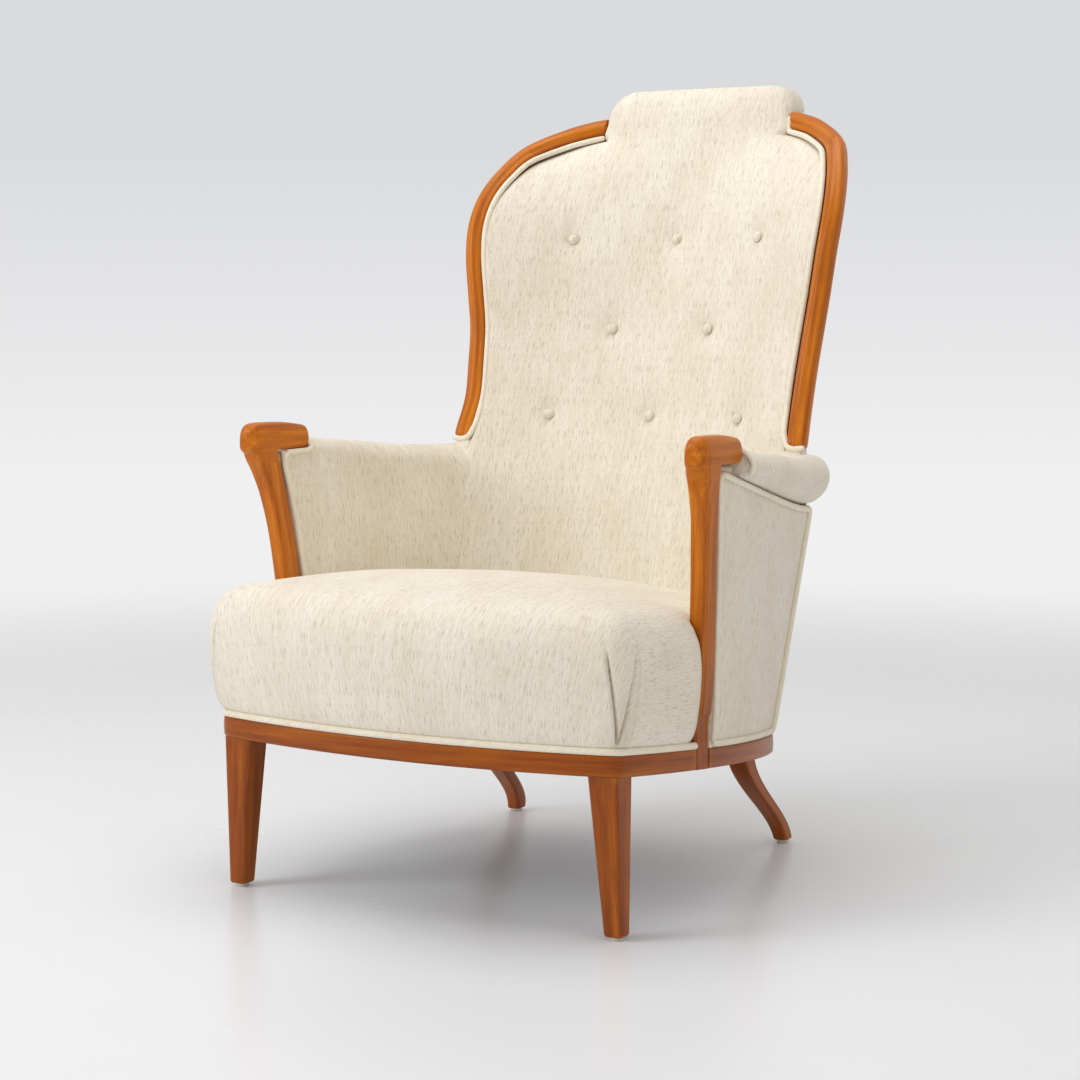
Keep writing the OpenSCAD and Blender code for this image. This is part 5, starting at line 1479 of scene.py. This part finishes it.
def cavity_block(name, low, high, slot, rough, seed):
    """A block that fills the hollow between two heights, uneven above and below."""
    line, middle, rings = cavity_line(), np.array([0.0, place(FRAME_D * 0.47)]), []
    shares = [0.04, 0.2, 0.4, 0.6, 0.78, 0.9, 0.97, 0.995]
    for level, up, order in ((low, 1, shares), (high, -1, shares[::-1])):
        for share in order:
            flat = middle + (line - middle) * share
            lump = rough * softness(flat[:, 0], flat[:, 1], 60.0, seed)
            z = rail_bottom(flat[:, 1]) + level + up * abs(lump)
            rings.append(np.concatenate([flat, z[:, None]], 1))
    return settle(tube(name, rings, slot, rings, angle=60))


stuffing = cavity_block("seat_stuffing_shown", HESSIAN_H + 2.6, CEILING_H - 0.6, "stuffing", 2.5, 41)
hessian = cavity_block("spring_hessian_shown", HESSIAN_H + 0.1, HESSIAN_H + 1.9, "jute", 0.2, 43)


def dust_cover():
    """Black cloth under the webbing, cut round the legs and sagging between them."""
    line = frame_half(WEB_INSET + 10)
    levels = np.unique(np.concatenate([line[:, 1], place(np.array([64.0, 64.4, 412.0, 412.4]))]))
    upper = []
    for y in levels:
        w = float(np.interp(y, line[:, 1], line[:, 0]))
        w = min(w, 226.0 if y < place(64.2) else 186.0 if y > place(412.2) else w)
        xs = np.linspace(-1, 1, 60) * max(w, 3.0)
        ys = np.full_like(xs, y)
        t = (y - levels[0]) / (levels[-1] - levels[0])
        sag = 3.0 * sin(pi * t) * np.cos(xs / 290.0 * 1.4) + 0.3 * softness(xs, ys, 130.0, 17)
        upper.append(np.stack([xs, ys, float(rail_bottom(y)) - 2.0 - np.maximum(0, sag)], -1))
    upper = np.array(upper)
    piece = shell("dust_cover_shown", upper, upper - (0, 0, 0.6), "dust_cloth")
    settle(piece)


dust_cover()

# %% [markdown]
# The plain sawn frame members keep their CAD solids. A fine bevel takes off the knife edges, and
# the finish reads object space, stretched along each member's own length.

# %% Kept frame members
KEPT = (("crest_rail", "lower_back_rail"), ("left_arm_rail", "right_arm_rail"),
        ("left_back_upright", "right_back_upright", "corner_blocks"))


def sawn_wood(axis):
    r = Recipe(f"frame_wood_{axis}")
    broad, saw = (r.noise(r.where(), tuple(along if k == axis else across for k in range(3)), detail)
                  for along, across, detail in ((6.0, 110.0, 3.0), (700.0, 60.0, 2.0)))
    base = r.tone(broad * 0.8 + saw * 0.2, (0.32, "B38E5E"), (0.5, "CFB184"), (0.7, "E2CBA2"))
    return r.finish(Base_Color=base, Roughness=0.62 + saw * 0.2, Normal=r.bump(saw, 0.0002, 0.5))


def refinish(node, material):
    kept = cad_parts[node]
    kept.data.materials.clear()
    kept.data.materials.append(material)
    return kept


for axis, nodes in enumerate(KEPT):
    material = sawn_wood(axis)
    for node in nodes:
        bevel = refinish(node, material).modifiers.new("eased", "BEVEL")
        bevel.width, bevel.segments, bevel.limit_method = 0.0009, 2, "ANGLE"
refinish("corner_screws", FINISH["screw_steel"])
print("kept", sum(map(len, KEPT)) + 1, "CAD members")

# %% [markdown]
# ## Studio
# The picture is a catalogue photograph: a pale sweep with no horizon, a large soft light above, a
# key from the front left and a weak fill. The floor fades out into the backdrop colour, which only
# the camera sees, and keeps a faint gloss for the blurred reflections of the legs.

# %% Floor, backdrop and lamps
FLOOR_R, FLOOR_SIDES = 4.0, 48


def studio_floor():
    r = Recipe("floor")
    where = r.where()
    away = r.node("ShaderNodeVectorMath", {"operation": "LENGTH"}, {0: where}, out="Value")
    scuffs = r.noise(where, 3.0, 4.0)
    return r.finish(Base_Color=r.blend(scuffs, "F3F4F7", "ECEDF1"), Roughness=0.22 + scuffs * 0.14,
                    Alpha=1.0 - away.over(1.5, 3.6), Normal=r.bump(scuffs, 0.0004, 0.2),
                    Specular_IOR_Level=0.5)


turns = [2 * pi * k / FLOOR_SIDES for k in range(FLOOR_SIDES)]
rim = [(FLOOR_R * cos(a), FLOOR_R * sin(a), 0.0) for a in turns]
mesh = bpy.data.meshes.new("floor")
mesh.from_pydata(rim, [], [tuple(range(FLOOR_SIDES))])
mesh.materials.append(studio_floor())
linked("floor", mesh)


def softbox(name, where, target, size, power, tint=(1, 1, 1)):
    lamp = bpy.data.lights.new(name, "AREA")
    lamp.energy, lamp.size, lamp.color = power, size, tint
    aim(linked(name, lamp), where, target)


softbox("key", (-2.3, -2.9, 2.0), (0, 0, 0.5), 1.8, 52)
softbox("top", (-0.4, -0.2, 3.4), (0, 0, 0.4), 2.6, 44)
softbox("fill", (2.9, -1.4, 1.3), (0, 0, 0.5), 1.8, 7, (1.0, 0.93, 0.82))

world = bpy.data.worlds.new("studio")
bpy.context.scene.world = world
world.use_nodes = True
r = Recipe("studio", world.node_tree)
rise = r.part(r.node("ShaderNodeTexCoord", out="Generated"), "Z")
sky = r.tone(rise * 2.0 + 0.5, (0.36, "F0F0F1"), (0.62, "DADBDD"))
seen = r.node("ShaderNodeBackground", inputs={"Color": sky})
lit = r.node("ShaderNodeBackground", inputs={"Color": (1.0, 0.99, 0.965, 1), "Strength": 0.58})
from_camera = r.node("ShaderNodeLightPath", out="Is Camera Ray")
both = r.node("ShaderNodeMixShader", inputs={0: from_camera, 1: lit, 2: seen})
r.node("ShaderNodeOutputWorld", inputs={"Surface": both})
